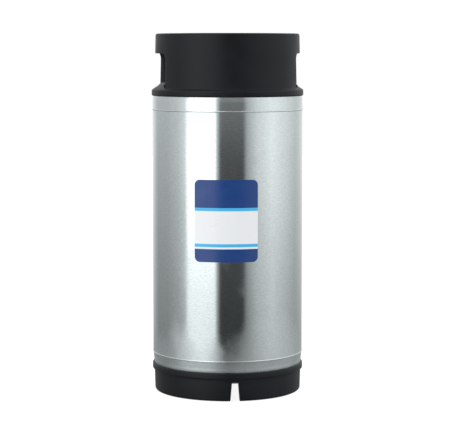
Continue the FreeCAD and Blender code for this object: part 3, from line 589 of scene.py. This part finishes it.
def add_step(tree, operation, *values):
    """One step of arithmetic on sockets and numbers."""
    node = tree.nodes.new("ShaderNodeMath")
    node.operation = operation
    for socket, item in zip(node.inputs, values):
        if isinstance(item, float):
            socket.default_value = item
        else:
            tree.links.new(item, socket)
    return node.outputs[0]


def make_rubber(name, base, roughness):
    """Moulded rubber: fine pebbled skin, rubbed a little paler and glossier in patches."""
    material, tree, shader = new_finish(name, base, 0.0, roughness)
    shader.inputs["Specular IOR Level"].default_value = 0.24
    patches = object_noise(tree, 24, (1, 1, 1), 5)
    skin = object_noise(tree, 900, (1, 1, 1), 2)
    tree.links.new(tint(tree, patches.outputs["Fac"], scaled(base, 0.8), scaled(base, 1.5)),
                   shader.inputs["Base Color"])
    tree.links.new(spread(tree, patches.outputs["Fac"], roughness * 0.88, roughness * 1.12),
                   shader.inputs["Roughness"])
    add_bump(tree, shader, skin.outputs["Fac"], 0.06 * MM)
    return material


def make_label_film(name, colours):
    """Plain printed film: a pale ground between dark bands edged with light stripes, with no lettering."""
    material, tree, shader = new_finish(name, colours.label_ground, 0.0, 0.32)
    shader.inputs["Coat Weight"].default_value = 0.12
    uv = tree.nodes.new("ShaderNodeUVMap")
    uv.uv_map = "label"
    split = tree.nodes.new("ShaderNodeSeparateXYZ")
    tree.links.new(uv.outputs["UV"], split.inputs["Vector"])
    bands = tree.nodes.new("ShaderNodeValToRGB")
    ramp = bands.color_ramp
    ramp.interpolation = "CONSTANT"
    marks = [(0.0, colours.label_band), (0.16, colours.label_ground), (0.18, colours.label_stripe),
             (0.22, colours.label_ground), (0.62, colours.label_stripe), (0.66, colours.label_band)]
    while len(ramp.elements) < len(marks):
        ramp.elements.new(0.5)
    for element, (spot, shade) in zip(ramp.elements, marks):
        element.position = spot
        element.color = (*shade, 1)
    tree.links.new(split.outputs["Y"], bands.inputs["Fac"])
    tree.links.new(bands.outputs["Color"], shader.inputs["Base Color"])
    wear = object_noise(tree, 60, (1, 1, 1), 5)
    tree.links.new(spread(tree, wear.outputs["Fac"], 0.26, 0.42), shader.inputs["Roughness"])
    return material


def finishes():
    """Every material by name, made once."""
    colours = bpy.context.scene.keg_colours
    steel, rubber = colours.steel, colours.rubber
    makers = {
        "shell": (make_steel, steel, 0.11, 0.006 * MM, True),
        "head": (make_steel, steel, 0.2, 0.01 * MM),
        # Weld beads: steel 1.18 times lighter, partly the bead's own duller metal and partly a painted highlight
        # along the weld line
        "weld": (make_steel, scaled(steel, 1.18), 0.3, 0.03 * MM),
        "bright": (make_steel, scaled(steel, 1.1), 0.16, 0.006 * MM),
        "wire": (make_steel, scaled(steel, 0.85), 0.3, 0.01 * MM),
        "rubber": (make_rubber, rubber, 0.44),
        "seal": (make_rubber, scaled(rubber, 0.8), 0.38),
        "boot": (make_rubber, scaled(rubber, 1.2), 0.55),
        "label": (make_label_film, colours),
    }
    return {
        name: bpy.data.materials.get("keg_" + name) or maker("keg_" + name, *settings)
        for name, (maker, *settings) in makers.items()
    }


# ---------------------------------------------------------------- the pieces

class KEG_OT_tank(bpy.types.Operator):
    """Build the steel shell with its two weld beads"""
    bl_idname = "keg.tank"
    bl_label = "Tank"

    def execute(self, context):
        sizes = context.scene.keg_tank
        steel = finishes()
        radius = high("tank_shell").x
        bottom, top = low("tank_shell").z, high("tank_shell").z
        inner = radius - sizes.sheet
        levels = [bottom + (top - bottom) * step / 12 for step in range(13)]
        bm = bmesh.new()
        wall = [(radius, level) for level in levels] + [(inner, level) for level in reversed(levels)]
        spin_outline(bm, wall, 256)
        finish_piece(bm, "shell_sheet", "tank", steel["shell"], ["tank_shell"])
        half, root = sizes.weld_width / 2, radius - 0.4 * MM
        bead = [(-1.0, 0.0), (-0.7, 0.55), (-0.3, 0.95), (0.0, 1.0), (0.3, 0.95), (0.7, 0.55), (1.0, 0.0)]
        for name, level in (("upper_weld", top), ("lower_weld", bottom)):
            outline = [(root, level + half), (root, level - half)]
            outline += [(radius + sizes.weld_rise * rise, level + half * share) for share, rise in bead]
            bm = bmesh.new()
            spin_outline(bm, outline, 256)
            # The beads take the lighter weld finish, which is partly a painted highlight along each weld line
            finish_piece(bm, name, "tank", steel["weld"], sharp=80)
        return {"FINISHED"}


class KEG_OT_handle(bpy.types.Operator):
    """Build the rubber handle top: sloping sill, wall with two hand windows, and thick rim"""
    bl_idname = "keg.handle"
    bl_label = "Handle Top"

    def execute(self, context):
        sizes = context.scene.keg_handle
        knuckle = context.scene.keg_tank.knuckle
        bottom, rim = low("rubber_top").z, high("rubber_top").z
        flange, lip = high("rubber_top").x, sizes.sill_lip
        sill = bottom + sizes.flange
        slope = sizes.sill_rise / (flange - lip)

        def sill_at(radius):
            return sill + (flange - radius) * slope

        knee = bottom - sizes.overlap
        centre = high("top_head").x - knuckle
        first, last = math.acos((lip - centre) / knuckle), math.asin((bottom - knee) / knuckle)
        angles = [first + (last - first) * step / 8 for step in range(9)]
        seat = [(centre + knuckle * math.cos(angle), knee + knuckle * math.sin(angle), 0) for angle in angles]
        ring = [(flange, bottom, 2 * MM), (flange, sill, 3 * MM), (lip, sill_at(lip), 1 * MM)]
        bm = bmesh.new()
        spin_outline(bm, profile(ring + seat, steps=5), 192)
        self.add_wall(bm, sizes, rim, sill_at)
        finish_piece(bm, "handle_top", "tank", finishes()["rubber"], ["rubber_top"], 40)
        return {"FINISHED"}

    def add_wall(self, bm, sizes, rim, sill_at):
        """Adds the wall and rim with the two hand windows."""
        outer, rim_outer = sizes.wall_outer, sizes.rim_outer
        inner, rim_inner = sizes.wall_inner, sizes.rim_inner
        window = rim - sizes.rim_height
        corner = sizes.window_corner
        step_count = 3
        rows = [window - corner + corner * step / step_count for step in range(step_count + 1)]

        def outer_at(level):
            share = (level - sill_at(outer)) / (rim - sill_at(outer))
            return outer + (rim_outer - outer) * share

        def inner_at(level):
            share = min(max((level - rows[0]) / (window - rows[0]), 0), 1)
            return inner + (rim_inner - inner) * share

        def root(radius, away):
            """The wall's foot, which flares into the sill."""
            flare, sunk, raised, bend = 2.6 * MM, 0.6 * MM, 0.5 * MM, 3 * MM
            foot = radius + flare * away
            return profile([(foot, sill_at(foot) - sunk, 0), (radius, sill_at(radius) + raised, bend),
                            (radius, rows[0], 0)], False)[:-1]

        outside = root(outer, 1) + [Vector((outer_at(level), level, 0)) for level in rows]
        head = profile([(outer_at(window), window, 0), (rim_outer, rim, sizes.rim_round),
                        (rim_inner, rim, sizes.rim_round), (rim_inner, window, 0)], False, 6)[1:-1]
        inside = [Vector((inner_at(level), level, 0)) for level in reversed(rows)] + root(inner, -1)[::-1]
        segments = 192
        wall = bmesh.new()
        spin_outline(wall, outside + head + inside, segments)
        column = TURN / segments
        half_angle = round(math.asin(sizes.window_half / outer_at(window)) / column) * column
        split = (outer + inner) / 2

        def round_corner(vert, centre):
            """Moves a vertex beside a window's upper corner onto the corner's arc."""
            radius, angle = polar(vert)
            turn = off_axis(angle, centre)
            columns_in = round((half_angle - abs(turn)) / column)
            row = (vert.co.z - rows[0]) / (rows[1] - rows[0])
            if row < -0.01 or columns_in > step_count or (columns_in > 0 and row < step_count - 0.01):
                return
            bend = (row + columns_in) / (2 * step_count) * math.pi / 2
            level = rows[0] + corner * math.sin(bend)
            inset = step_count * column * (1 - math.cos(bend))
            reach = (outer_at if radius > split else inner_at)(level)
            set_polar(vert, reach, centre + math.copysign(half_angle - inset, turn), level)

        for centre in (0, math.pi):
            edges = open_gap(wall, centre, half_angle, window, split)
            for vert in verts_of(edges[0] + edges[1]):
                round_corner(vert, centre)
            close_gap(wall, edges, sizes.edge_round)
        join_mesh(bm, wall)


class KEG_OT_foot(bpy.types.Operator):
    """Build the rubber foot ring with its lip and two drain slots"""
    bl_idname = "keg.foot"
    bl_label = "Foot Ring"

    def execute(self, context):
        sizes = context.scene.keg_foot
        tank = context.scene.keg_tank
        knuckle = tank.foot_knuckle
        lip_radius, top = high("rubber_foot").x, high("rubber_foot").z
        knee = top + sizes.show
        centre = high("bottom_head").x - tank.foot_taper - knuckle
        upper, lower, inner = sizes.upper, sizes.lower, sizes.inner
        under_lip = top - sizes.lip_height
        tread = 105 * MM

        def seat_radius(level):
            return centre + math.sqrt(knuckle ** 2 - (knee - level) ** 2)

        def side(level):
            return lower + (upper - lower) * level / under_lip

        seat_low = knee - math.sqrt(knuckle ** 2 - (inner - centre) ** 2)
        slot_top = sizes.slot_height
        outside = profile([(tread, 0, 0), (lower, 0, sizes.floor_round), (side(seat_low), seat_low, 0)],
                          False, 5)[1:]
        outside += [Vector((side(slot_top), slot_top, 0))]
        lip = profile([(side(slot_top), slot_top, 0), (upper, under_lip, 1 * MM),
                       (lip_radius, under_lip + 1.2 * MM, 1.4 * MM), (lip_radius, top, 1.8 * MM),
                       (seat_radius(top), top, 0)], False)[1:]
        seat_levels = [top + (slot_top - top) * step / 5 for step in range(1, 6)]
        seat = [Vector((seat_radius(level), level, 0)) for level in seat_levels]
        inside = [Vector((inner, seat_low, 0))]
        inside += profile([(inner, seat_low, 0), (inner, 0, 1.5 * MM), (tread, 0, 0)], False, 5)[1:-1]
        segments = 192
        bm = bmesh.new()
        spin_outline(bm, outside + lip + seat + inside, segments)
        half_angle = 2 * TURN / segments
        for facing in (math.pi / 2, -math.pi / 2):
            edges = open_gap(bm, facing, half_angle, slot_top, tread + 1 * MM)
            for vert in verts_of(edges[0] + edges[1]):
                turn = off_axis(polar(vert)[1], facing)
                share = min(vert.co.z / slot_top, 1)
                half = sizes.slot_floor + (sizes.slot_top - sizes.slot_floor) * share
                vert.co.x = math.copysign(half, vert.co.x) * abs(turn) / half_angle
            close_gap(bm, edges, sizes.slot_round)
        finish_piece(bm, "foot_ring", "tank", finishes()["rubber"], ["rubber_foot"], 40)
        return {"FINISHED"}


class KEG_OT_label(bpy.types.Operator):
    """Build the plain contents label that follows the shell"""
    bl_idname = "keg.label"
    bl_label = "Contents Label"

    def execute(self, context):
        sizes = context.scene.keg_tank
        half_width, half_height = sizes.label_width / 2, sizes.label_height / 2
        corner, film = sizes.label_corner, sizes.label_film
        radius = high("tank_shell").x + 0.03 * MM
        level = centre_of("contents_label").z
        facing = math.radians(-97)
        bm = bmesh.new()
        bmesh.ops.create_grid(bm, x_segments=48, y_segments=60, size=0.5, calc_uvs=False)
        layer = bm.loops.layers.uv.new("label")
        for face in bm.faces:
            for loop in face.loops:
                loop[layer].uv = (loop.vert.co.x + 0.5, loop.vert.co.y + 0.5)
        for vert in bm.verts:
            across, up = vert.co.x * 2 * half_width, vert.co.y * 2 * half_height
            over = max(abs(across) - half_width + corner, 0), max(abs(up) - half_height + corner, 0)
            across -= math.copysign(over[0] * (1 - math.sqrt(1 - (over[1] / corner) ** 2 / 2)), across)
            up -= math.copysign(over[1] * (1 - math.sqrt(1 - (over[0] / corner) ** 2 / 2)), up)
            set_polar(vert, radius, facing + across / radius, level + up)
        face_outwards(bm)
        bmesh.ops.solidify(bm, geom=bm.faces[:], thickness=film)
        for vert in bm.verts:
            reach, angle = polar(vert)
            set_polar(vert, radius if abs(reach - radius) < film / 2 else radius + film, angle, vert.co.z)
        face_outwards(bm)
        finish_piece(bm, "contents_film", "tank", finishes()["label"], ["contents_label"])
        return {"FINISHED"}


class KEG_OT_hatch(bpy.types.Operator):
    """Build the oval collar, the lid, its gasket, the wire bail and the bail's feet"""
    bl_idname = "keg.hatch"
    bl_label = "Hatch"

    def execute(self, context):
        sizes = context.scene.keg_hatch
        steel = finishes()
        oval = high("hatch_collar").x - high("hatch_collar").y
        outer, top, bottom = high("hatch_collar").x, high("hatch_collar").z, low("hatch_collar").z
        inner = outer - sizes.collar_wall
        spun_piece("mouth_collar", [
            (inner, bottom, 0.6 * MM), (outer, bottom, 0.6 * MM), (outer, top, 1.4 * MM), (inner, top, 1.4 * MM),
        ], 128, "tank", steel["bright"], ["hatch_collar"], oval=oval)
        self.make_lid(sizes, steel, oval)
        reach, top, bottom = high("lid_gasket").x, high("lid_gasket").z, low("lid_gasket").z
        inner = reach - (top - bottom)
        bend = (top - bottom) * 0.4
        spun_piece("mouth_gasket", [
            (inner, bottom, bend), (reach, bottom, bend), (reach, top, bend), (inner, top, bend),
        ], 128, "lid", steel["seal"], ["lid_gasket"], oval=oval)
        self.make_bail(sizes, steel)
        return {"FINISHED"}

    def make_lid(self, sizes, steel, oval):
        """The stamped lid with a rolled shoulder and a shallow pressed ring."""
        sheet, plug = sizes.lid_sheet, sizes.plug_reach
        reach, top, bottom = high("lid").x, high("lid").z, low("lid").z
        pressed = top - 0.7 * MM
        corners = [
            (0, top - sheet, 0), (plug - sheet, top - sheet, 2 * MM), (plug - sheet, bottom, 0.8 * MM),
            (reach, bottom, 0.6 * MM), (reach, bottom + sheet, 0.6 * MM), (plug, bottom + sheet, 1 * MM),
            (plug, top, 3.4 * MM), (39 * MM, top, 1 * MM), (38 * MM, pressed, 0.8 * MM),
            (36 * MM, pressed, 0.8 * MM), (35 * MM, top, 1 * MM), (0, top, 0),
        ]
        bm = bmesh.new()
        spin_outline(bm, profile(corners), 128)
        make_oval(bm, oval)
        punch(bm, centre_of("relief_body").x, sizes.valve_hole, top - 3 * sheet, top + sheet)
        finish_piece(bm, "hatch_lid", "lid", steel["head"], ["lid"])

    def make_bail(self, sizes, steel):
        """The bent wire with a boot on each end."""
        wire, leg = sizes.bail_wire, sizes.bail_leg
        axis = centre_of("bail_foot_gas_side").x
        grip, end, level = [limit - wire for limit in high("bail")]
        stub = low("bail").z
        ear_bend, root_bend, grip_bend = 4.5 * MM, 6 * MM, 12 * MM
        wire_piece("bail_wire", [
            ((axis, -end, stub), 0), ((axis, -end, level), ear_bend), ((axis, -leg, level), root_bend),
            ((grip, -leg, level), grip_bend), ((grip, leg, level), grip_bend), ((axis, leg, level), root_bend),
            ((axis, end, level), ear_bend), ((axis, end, stub), 0),
        ], wire, "bail", steel["bright"], ["bail"])
        for node in ("bail_foot_gas_side", "bail_foot_liquid_side"):
            base, top, middle = low(node), high(node), centre_of(node)
            reach, tall = (top.x - base.x) / 2, top.z - base.z
            waist = reach - 0.8 * MM
            corners = [(0, 0, 0), (reach, 0, reach * 0.95), (reach, tall * 0.62, 0.5 * MM),
                       (waist, tall * 0.68, 0.4 * MM), (waist, tall * 0.8, 0.4 * MM),
                       (reach, tall * 0.86, 0.5 * MM), (reach, tall, 0.8 * MM), (0, tall, 0)]
            spun_piece(node.replace("bail_foot", "bail_boot"), corners, 48, "bail", steel["boot"],
                       [node], at=(middle.x, middle.y, base.z))


class KEG_OT_posts(bpy.types.Operator):
    """Build the two ball-lock posts"""
    bl_idname = "keg.posts"
    bl_label = "Posts"

    def execute(self, context):
        for side in ("gas", "liquid"):
            self.make_post(context.scene.keg_post, side)
        return {"FINISHED"}

    def make_post(self, sizes, side):
        """One post: a softened hexagon and a turned neck, shoulder and nose with its O-ring groove."""
        node = side + "_post"
        base, top, middle = low(node), high(node), centre_of(node)
        tall = (top.z - base.z) / MM
        outline = [
            (7.6, 0, 0.2), (10.4, 0, 0.2), (10.4, 9.5, 0.2), (8.0, 9.7, 0.4), (8.0, 13.5, 0.6),
            (9.75, 14.2, 0.5), (9.75, 18.0, 0.7), (8.9, 18.5, 0.3), (7.6, 18.6, 0.3), (7.6, 21.5, 0.2),
            (5.6, 21.5, 0.2), (5.6, 24.0, 0.2), (7.6, 24.0, 0.2), (7.6, 29.4, 0.5), (6.6, tall, 0.4),
            (3.9, tall, 0.3), (3.0, tall - 0.9, 0.2), (3.0, 25.5, 0.1), (4.5, 25.5, 0.1), (4.5, 8.5, 0.1),
            (7.6, 8.5, 0.1),
        ]
        bm = bmesh.new()
        spin_outline(bm, profile([[size * MM for size in corner] for corner in outline], steps=3), 72)
        add_nut(bm, top.y - base.y, 8.4 * MM, 0.0, 9.5 * MM)
        shift(bm, (middle.x, middle.y, base.z))
        finish_piece(bm, node + "_body", "tank", finishes()["bright"], [node])
        bung = side + "_bung"
        boss, seat, neck = low(bung).z, base.z, high(bung).z
        spun_piece(side + "_boss", [
            (sizes.bore, boss, 0.2 * MM), (sizes.boss, boss, 0.8 * MM), (sizes.boss, seat, 0.8 * MM),
            (sizes.neck, seat, 0.1 * MM), (sizes.neck, neck, 0.5 * MM), (sizes.bore, neck, 0.3 * MM),
        ], 96, "tank", finishes()["head"], [bung], at=(middle.x, middle.y, 0))
        spring_piece(side + "_poppet_coil", side + "_poppet_spring", 0.4 * MM, 6, "tank")
        ring_piece(side + "_nose_ring", node + "_oring", 1.2 * MM, "tank", finishes()["seal"])


class KEG_OT_relief(bpy.types.Operator):
    """Build the relief valve on the lid and the bracket that holds the bail"""
    bl_idname = "keg.relief"
    bl_label = "Relief Valve And Bracket"

    def execute(self, context):
        sizes = context.scene.keg_hatch
        steel = finishes()
        self.make_body(sizes, steel)
        self.make_nut(sizes, steel)
        base, top = low("relief_cap"), high("relief_cap")
        reach, bore, dish = (top.x - base.x) / 2, 2.6 * MM, top.z - 0.5 * MM
        spun_piece("valve_cap", [
            (bore, base.z, 0.2 * MM), (reach, base.z, 0.2 * MM), (reach, top.z, 0.4 * MM),
            (5.2 * MM, top.z, 0.3 * MM), (4.8 * MM, dish, 0.3 * MM), (bore, dish, 0.2 * MM),
        ], 72, "lid", steel["bright"], ["relief_cap"], at=(centre_of("relief_cap").x, 0, 0))
        spring_piece("valve_coil", "relief_spring", 0.5 * MM, 5, "lid")
        ring_piece("pull_ring", "relief_ring", 1 * MM, "relief_ring", steel["wire"], True)
        self.make_bracket(sizes, steel)
        return {"FINISHED"}

    def make_body(self, sizes, steel):
        """The threaded tube with its flange under the lid."""
        base, top = low("relief_body"), high("relief_body")
        tube, bore, seat = sizes.valve_tube, sizes.valve_bore, 4 * MM
        crest, pitch, threads = 0.4 * MM, 1.25 * MM, 4
        flange, flange_top, seat_top = (top.x - base.x) / 2, base.z + 4 * MM, base.z + 2 * MM
        corners = [(bore, seat_top, 0.1 * MM), (seat, seat_top, 0.1 * MM), (seat, base.z, 0.1 * MM),
                   (flange, base.z, 0.8 * MM), (flange, flange_top, 0.6 * MM), (tube, flange_top, 0.2 * MM)]
        for number in range(threads):
            level = top.z - (threads - number) * pitch
            corners += [(tube, level, 0.08 * MM), (tube - crest, level + pitch / 2, 0.08 * MM)]
        corners += [(tube, top.z, 0.08 * MM), (tube - crest, top.z, 0), (bore, top.z, 0.2 * MM)]
        spun_piece("valve_body", corners, 96, "lid", steel["bright"], ["relief_body"],
                   at=(centre_of("relief_body").x, 0, 0), steps=2)

    def make_nut(self, sizes, steel):
        """The lock nut on the tube."""
        base, top = low("relief_nut"), high("relief_nut")
        bm = bmesh.new()
        add_nut(bm, top.y - base.y, sizes.valve_hole, base.z, top.z)
        shift(bm, (centre_of("relief_nut").x, 0, 0))
        finish_piece(bm, "valve_nut", "lid", steel["bright"], ["relief_nut"])

    def make_bracket(self, sizes, steel):
        """The strip on the lid with its two ears."""
        base, top = low("lid_bracket"), high("lid_bracket")
        half, wide, ear = (top.x - base.x) / 2, top.y, sizes.ear
        axis = top.z - half
        drop = axis - base.z
        corner = math.atan2(drop, half)
        edge_round, segments = 0.4 * MM, 72

        def reach_at(angle):
            """The ear's outline: round over the hole, straight sides and a flat foot, with its corners kept."""
            below = -angle if angle < 0 else 0
            side = min(below, math.pi - below)
            if abs(side - corner) < TURN / segments / 2:
                below += corner - side if below < math.pi / 2 else side - corner
                side = corner
            if below == 0:
                return angle, half
            reach = half / math.cos(side) if side <= corner else drop / math.sin(side)
            return -below, reach

        bm = bmesh.new()
        for side in (-1, 1):
            plate = bmesh.new()
            add_plate(plate, reach_at, sizes.ear_hole, ear, edge_round, segments)
            shift(plate, (0, side * (wide - ear / 2), axis))
            join_mesh(bm, plate)
        add_block(bm, half, wide, base.z, base.z + sizes.bracket_sheet, edge_round)
        shift(bm, (centre_of("lid_bracket").x, 0, 0))
        finish_piece(bm, "bail_bracket", "lid", steel["bright"], ["lid_bracket"], 30)


class KEG_OT_finish_frame(bpy.types.Operator):
    """Give every CAD piece that stays its finish"""
    bl_idname = "keg.finish_frame"
    bl_label = "Finish The Frame"

    def execute(self, context):
        steel = finishes()
        finish_of = {
            "brushed_shell": "shell", "satin_steel": "head", "bright_steel": "bright", "spring_steel": "wire",
            "black_rubber": "rubber", "seal_rubber": "seal", "foot_plastic": "boot", "label_film": "label",
        }
        slots = {part["node"]: part["material_slot"] for part in frame["record"]["subparts"]}
        for name, node in frame["nodes"].items():
            finish = steel[finish_of[slots[name]]]
            if name in ("top_head", "bottom_head"):
                finish = steel["shell"]
            for slot in node.material_slots:
                slot.material = finish
        return {"FINISHED"}


class KEG_OT_stage(bpy.types.Operator):
    """Build the pale floor, the soft studio surround and the camera"""
    bl_idname = "keg.stage"
    bl_label = "Stage"

    def execute(self, context):
        sizes = context.scene.keg_stage
        self.make_floor(sizes)
        self.make_surround(context.scene)
        self.make_camera(context.scene, sizes)
        context.scene.view_settings.view_transform = "Standard"
        return {"FINISHED"}

    def make_floor(self, sizes):
        """A large pale disc, lit a little from within like a light table."""
        bm = bmesh.new()
        bmesh.ops.create_circle(bm, cap_ends=True, radius=sizes.floor_radius, segments=96)
        shift(bm, (0, 0, -0.2 * MM))
        mesh = bpy.data.meshes.new("studio_floor")
        bm.to_mesh(mesh)
        bm.free()
        floor = bpy.data.objects.new("studio_floor", mesh)
        bpy.context.scene.collection.objects.link(floor)
        material, _, shader = new_finish("studio_floor_finish", (0.3, 0.3, 0.3), 0.0, 0.9)
        shader.inputs["Specular IOR Level"].default_value = 0.0
        shader.inputs["Emission Color"].default_value = (1, 1, 1, 1)
        shader.inputs["Emission Strength"].default_value = 0.88
        floor.visible_glossy = False
        mesh.materials.append(material)

    def make_surround(self, scene):
        """The studio walls: a bright panel on the left, a dark gap in the middle and pale grey on the right."""
        world = bpy.data.worlds.new("studio")
        scene.world = world
        world.use_nodes = True
        tree = world.node_tree
        nodes, links = tree.nodes, tree.links
        coords = nodes.new("ShaderNodeTexCoord")
        split = nodes.new("ShaderNodeSeparateXYZ")
        links.new(coords.outputs["Generated"], split.inputs["Vector"])
        ahead = add_step(tree, "MULTIPLY", split.outputs["Y"], -1.0)
        turn = add_step(tree, "ARCTAN2", split.outputs["X"], ahead)
        share = add_step(tree, "MULTIPLY_ADD", turn, 1 / TURN, 0.5)
        walls = nodes.new("ShaderNodeValToRGB")
        ramp = walls.color_ramp
        while len(ramp.elements) < len(WALLS):
            ramp.elements.new(0.5)
        for element, (degrees, shade) in zip(ramp.elements, WALLS):
            element.position = (degrees + 180) / 360
            element.color = (shade, shade, shade, 1)
        links.new(share, walls.inputs["Fac"])
        over = self.blend(tree, split.outputs["Z"], (-0.05, -0.03), walls.outputs["Color"], CEILING, 0.3)
        under = self.blend(tree, split.outputs["Z"], (-0.19, -0.42), over, GROUND, 0.8)
        back = nodes["Background"]
        links.new(under, back.inputs["Color"])
        links.new(spread(tree, split.outputs["Z"], 0.66, 1.42, -0.17, -0.04), back.inputs["Strength"])
        white = nodes.new("ShaderNodeBackground")
        white.inputs["Color"].default_value = (1, 1, 1, 1)
        path = nodes.new("ShaderNodeLightPath")
        mix = nodes.new("ShaderNodeMixShader")
        links.new(path.outputs["Is Camera Ray"], mix.inputs["Fac"])
        links.new(back.outputs["Background"], mix.inputs[1])
        links.new(white.outputs["Background"], mix.inputs[2])
        links.new(mix.outputs["Shader"], nodes["World Output"].inputs["Surface"])

    def blend(self, tree, level, span, colour_in, shade, most):
        """Fades a colour towards a plain shade over a span of heights."""
        fade = spread(tree, level, 0.0, most, *span)
        node = tree.nodes.new("ShaderNodeMix")
        node.data_type = "RGBA"
        tree.links.new(fade, node.inputs[0])
        tree.links.new(colour_in, node.inputs[6])
        node.inputs[7].default_value = (shade, shade, shade, 1)
        return node.outputs[2]

    def make_camera(self, scene, sizes):
        """The camera, a little below the rim and looking slightly down."""
        data = bpy.data.cameras.new("studio_camera")
        data.lens = sizes.lens
        data.sensor_width = 36
        camera = bpy.data.objects.new("studio_camera", data)
        scene.collection.objects.link(camera)
        turn = math.radians(-sizes.camera_turn)
        spot = Vector((sizes.camera_distance * math.sin(turn), -sizes.camera_distance * math.cos(turn),
                       high("rubber_top").z - sizes.camera_drop))
        aim = Matrix.Rotation(turn, 4, "Z") @ Matrix.Rotation(math.radians(90 - sizes.camera_pitch), 4, "X")
        camera.matrix_world = Matrix.Translation(spot) @ aim
        scene.camera = camera


class KEG_PT_panel(bpy.types.Panel):
    """Lists the keg's pieces"""
    bl_idname = "KEG_PT_panel"
    bl_label = "Drinks Keg"
    bl_space_type = "VIEW_3D"
    bl_region_type = "UI"
    bl_category = "Keg"

    def draw(self, context):
        for operator in OPERATORS:
            self.layout.operator(operator.bl_idname)


GROUPS = {
    "keg_tank": KegTankSizes,
    "keg_handle": KegHandleSizes,
    "keg_foot": KegFootSizes,
    "keg_hatch": KegHatchSizes,
    "keg_post": KegPostSizes,
    "keg_colours": KegColours,
    "keg_stage": KegStageSizes,
}
OPERATORS = (KEG_OT_finish_frame, KEG_OT_tank, KEG_OT_handle, KEG_OT_foot, KEG_OT_label, KEG_OT_hatch,
             KEG_OT_relief, KEG_OT_posts, KEG_OT_stage)


def register():
    """Registers the classes and the scene's settings."""
    for group in GROUPS.values():
        bpy.utils.register_class(group)
    for operator in OPERATORS:
        bpy.utils.register_class(operator)
    bpy.utils.register_class(KEG_PT_panel)
    for name, group in GROUPS.items():
        setattr(bpy.types.Scene, name, PointerProperty(type=group))


def unregister():
    """Takes everything back out."""
    for name in GROUPS:
        delattr(bpy.types.Scene, name)
    bpy.utils.unregister_class(KEG_PT_panel)
    for operator in reversed(OPERATORS):
        bpy.utils.unregister_class(operator)
    for group in reversed(list(GROUPS.values())):
        bpy.utils.unregister_class(group)


def main():
    """Builds the whole keg."""
    register()
    bpy.ops.keg.finish_frame()
    bpy.ops.keg.tank()
    bpy.ops.keg.handle()
    bpy.ops.keg.foot()
    bpy.ops.keg.label()
    bpy.ops.keg.hatch()
    bpy.ops.keg.relief()
    bpy.ops.keg.posts()
    bpy.ops.keg.stage()


if __name__ == "__main__":
    main()
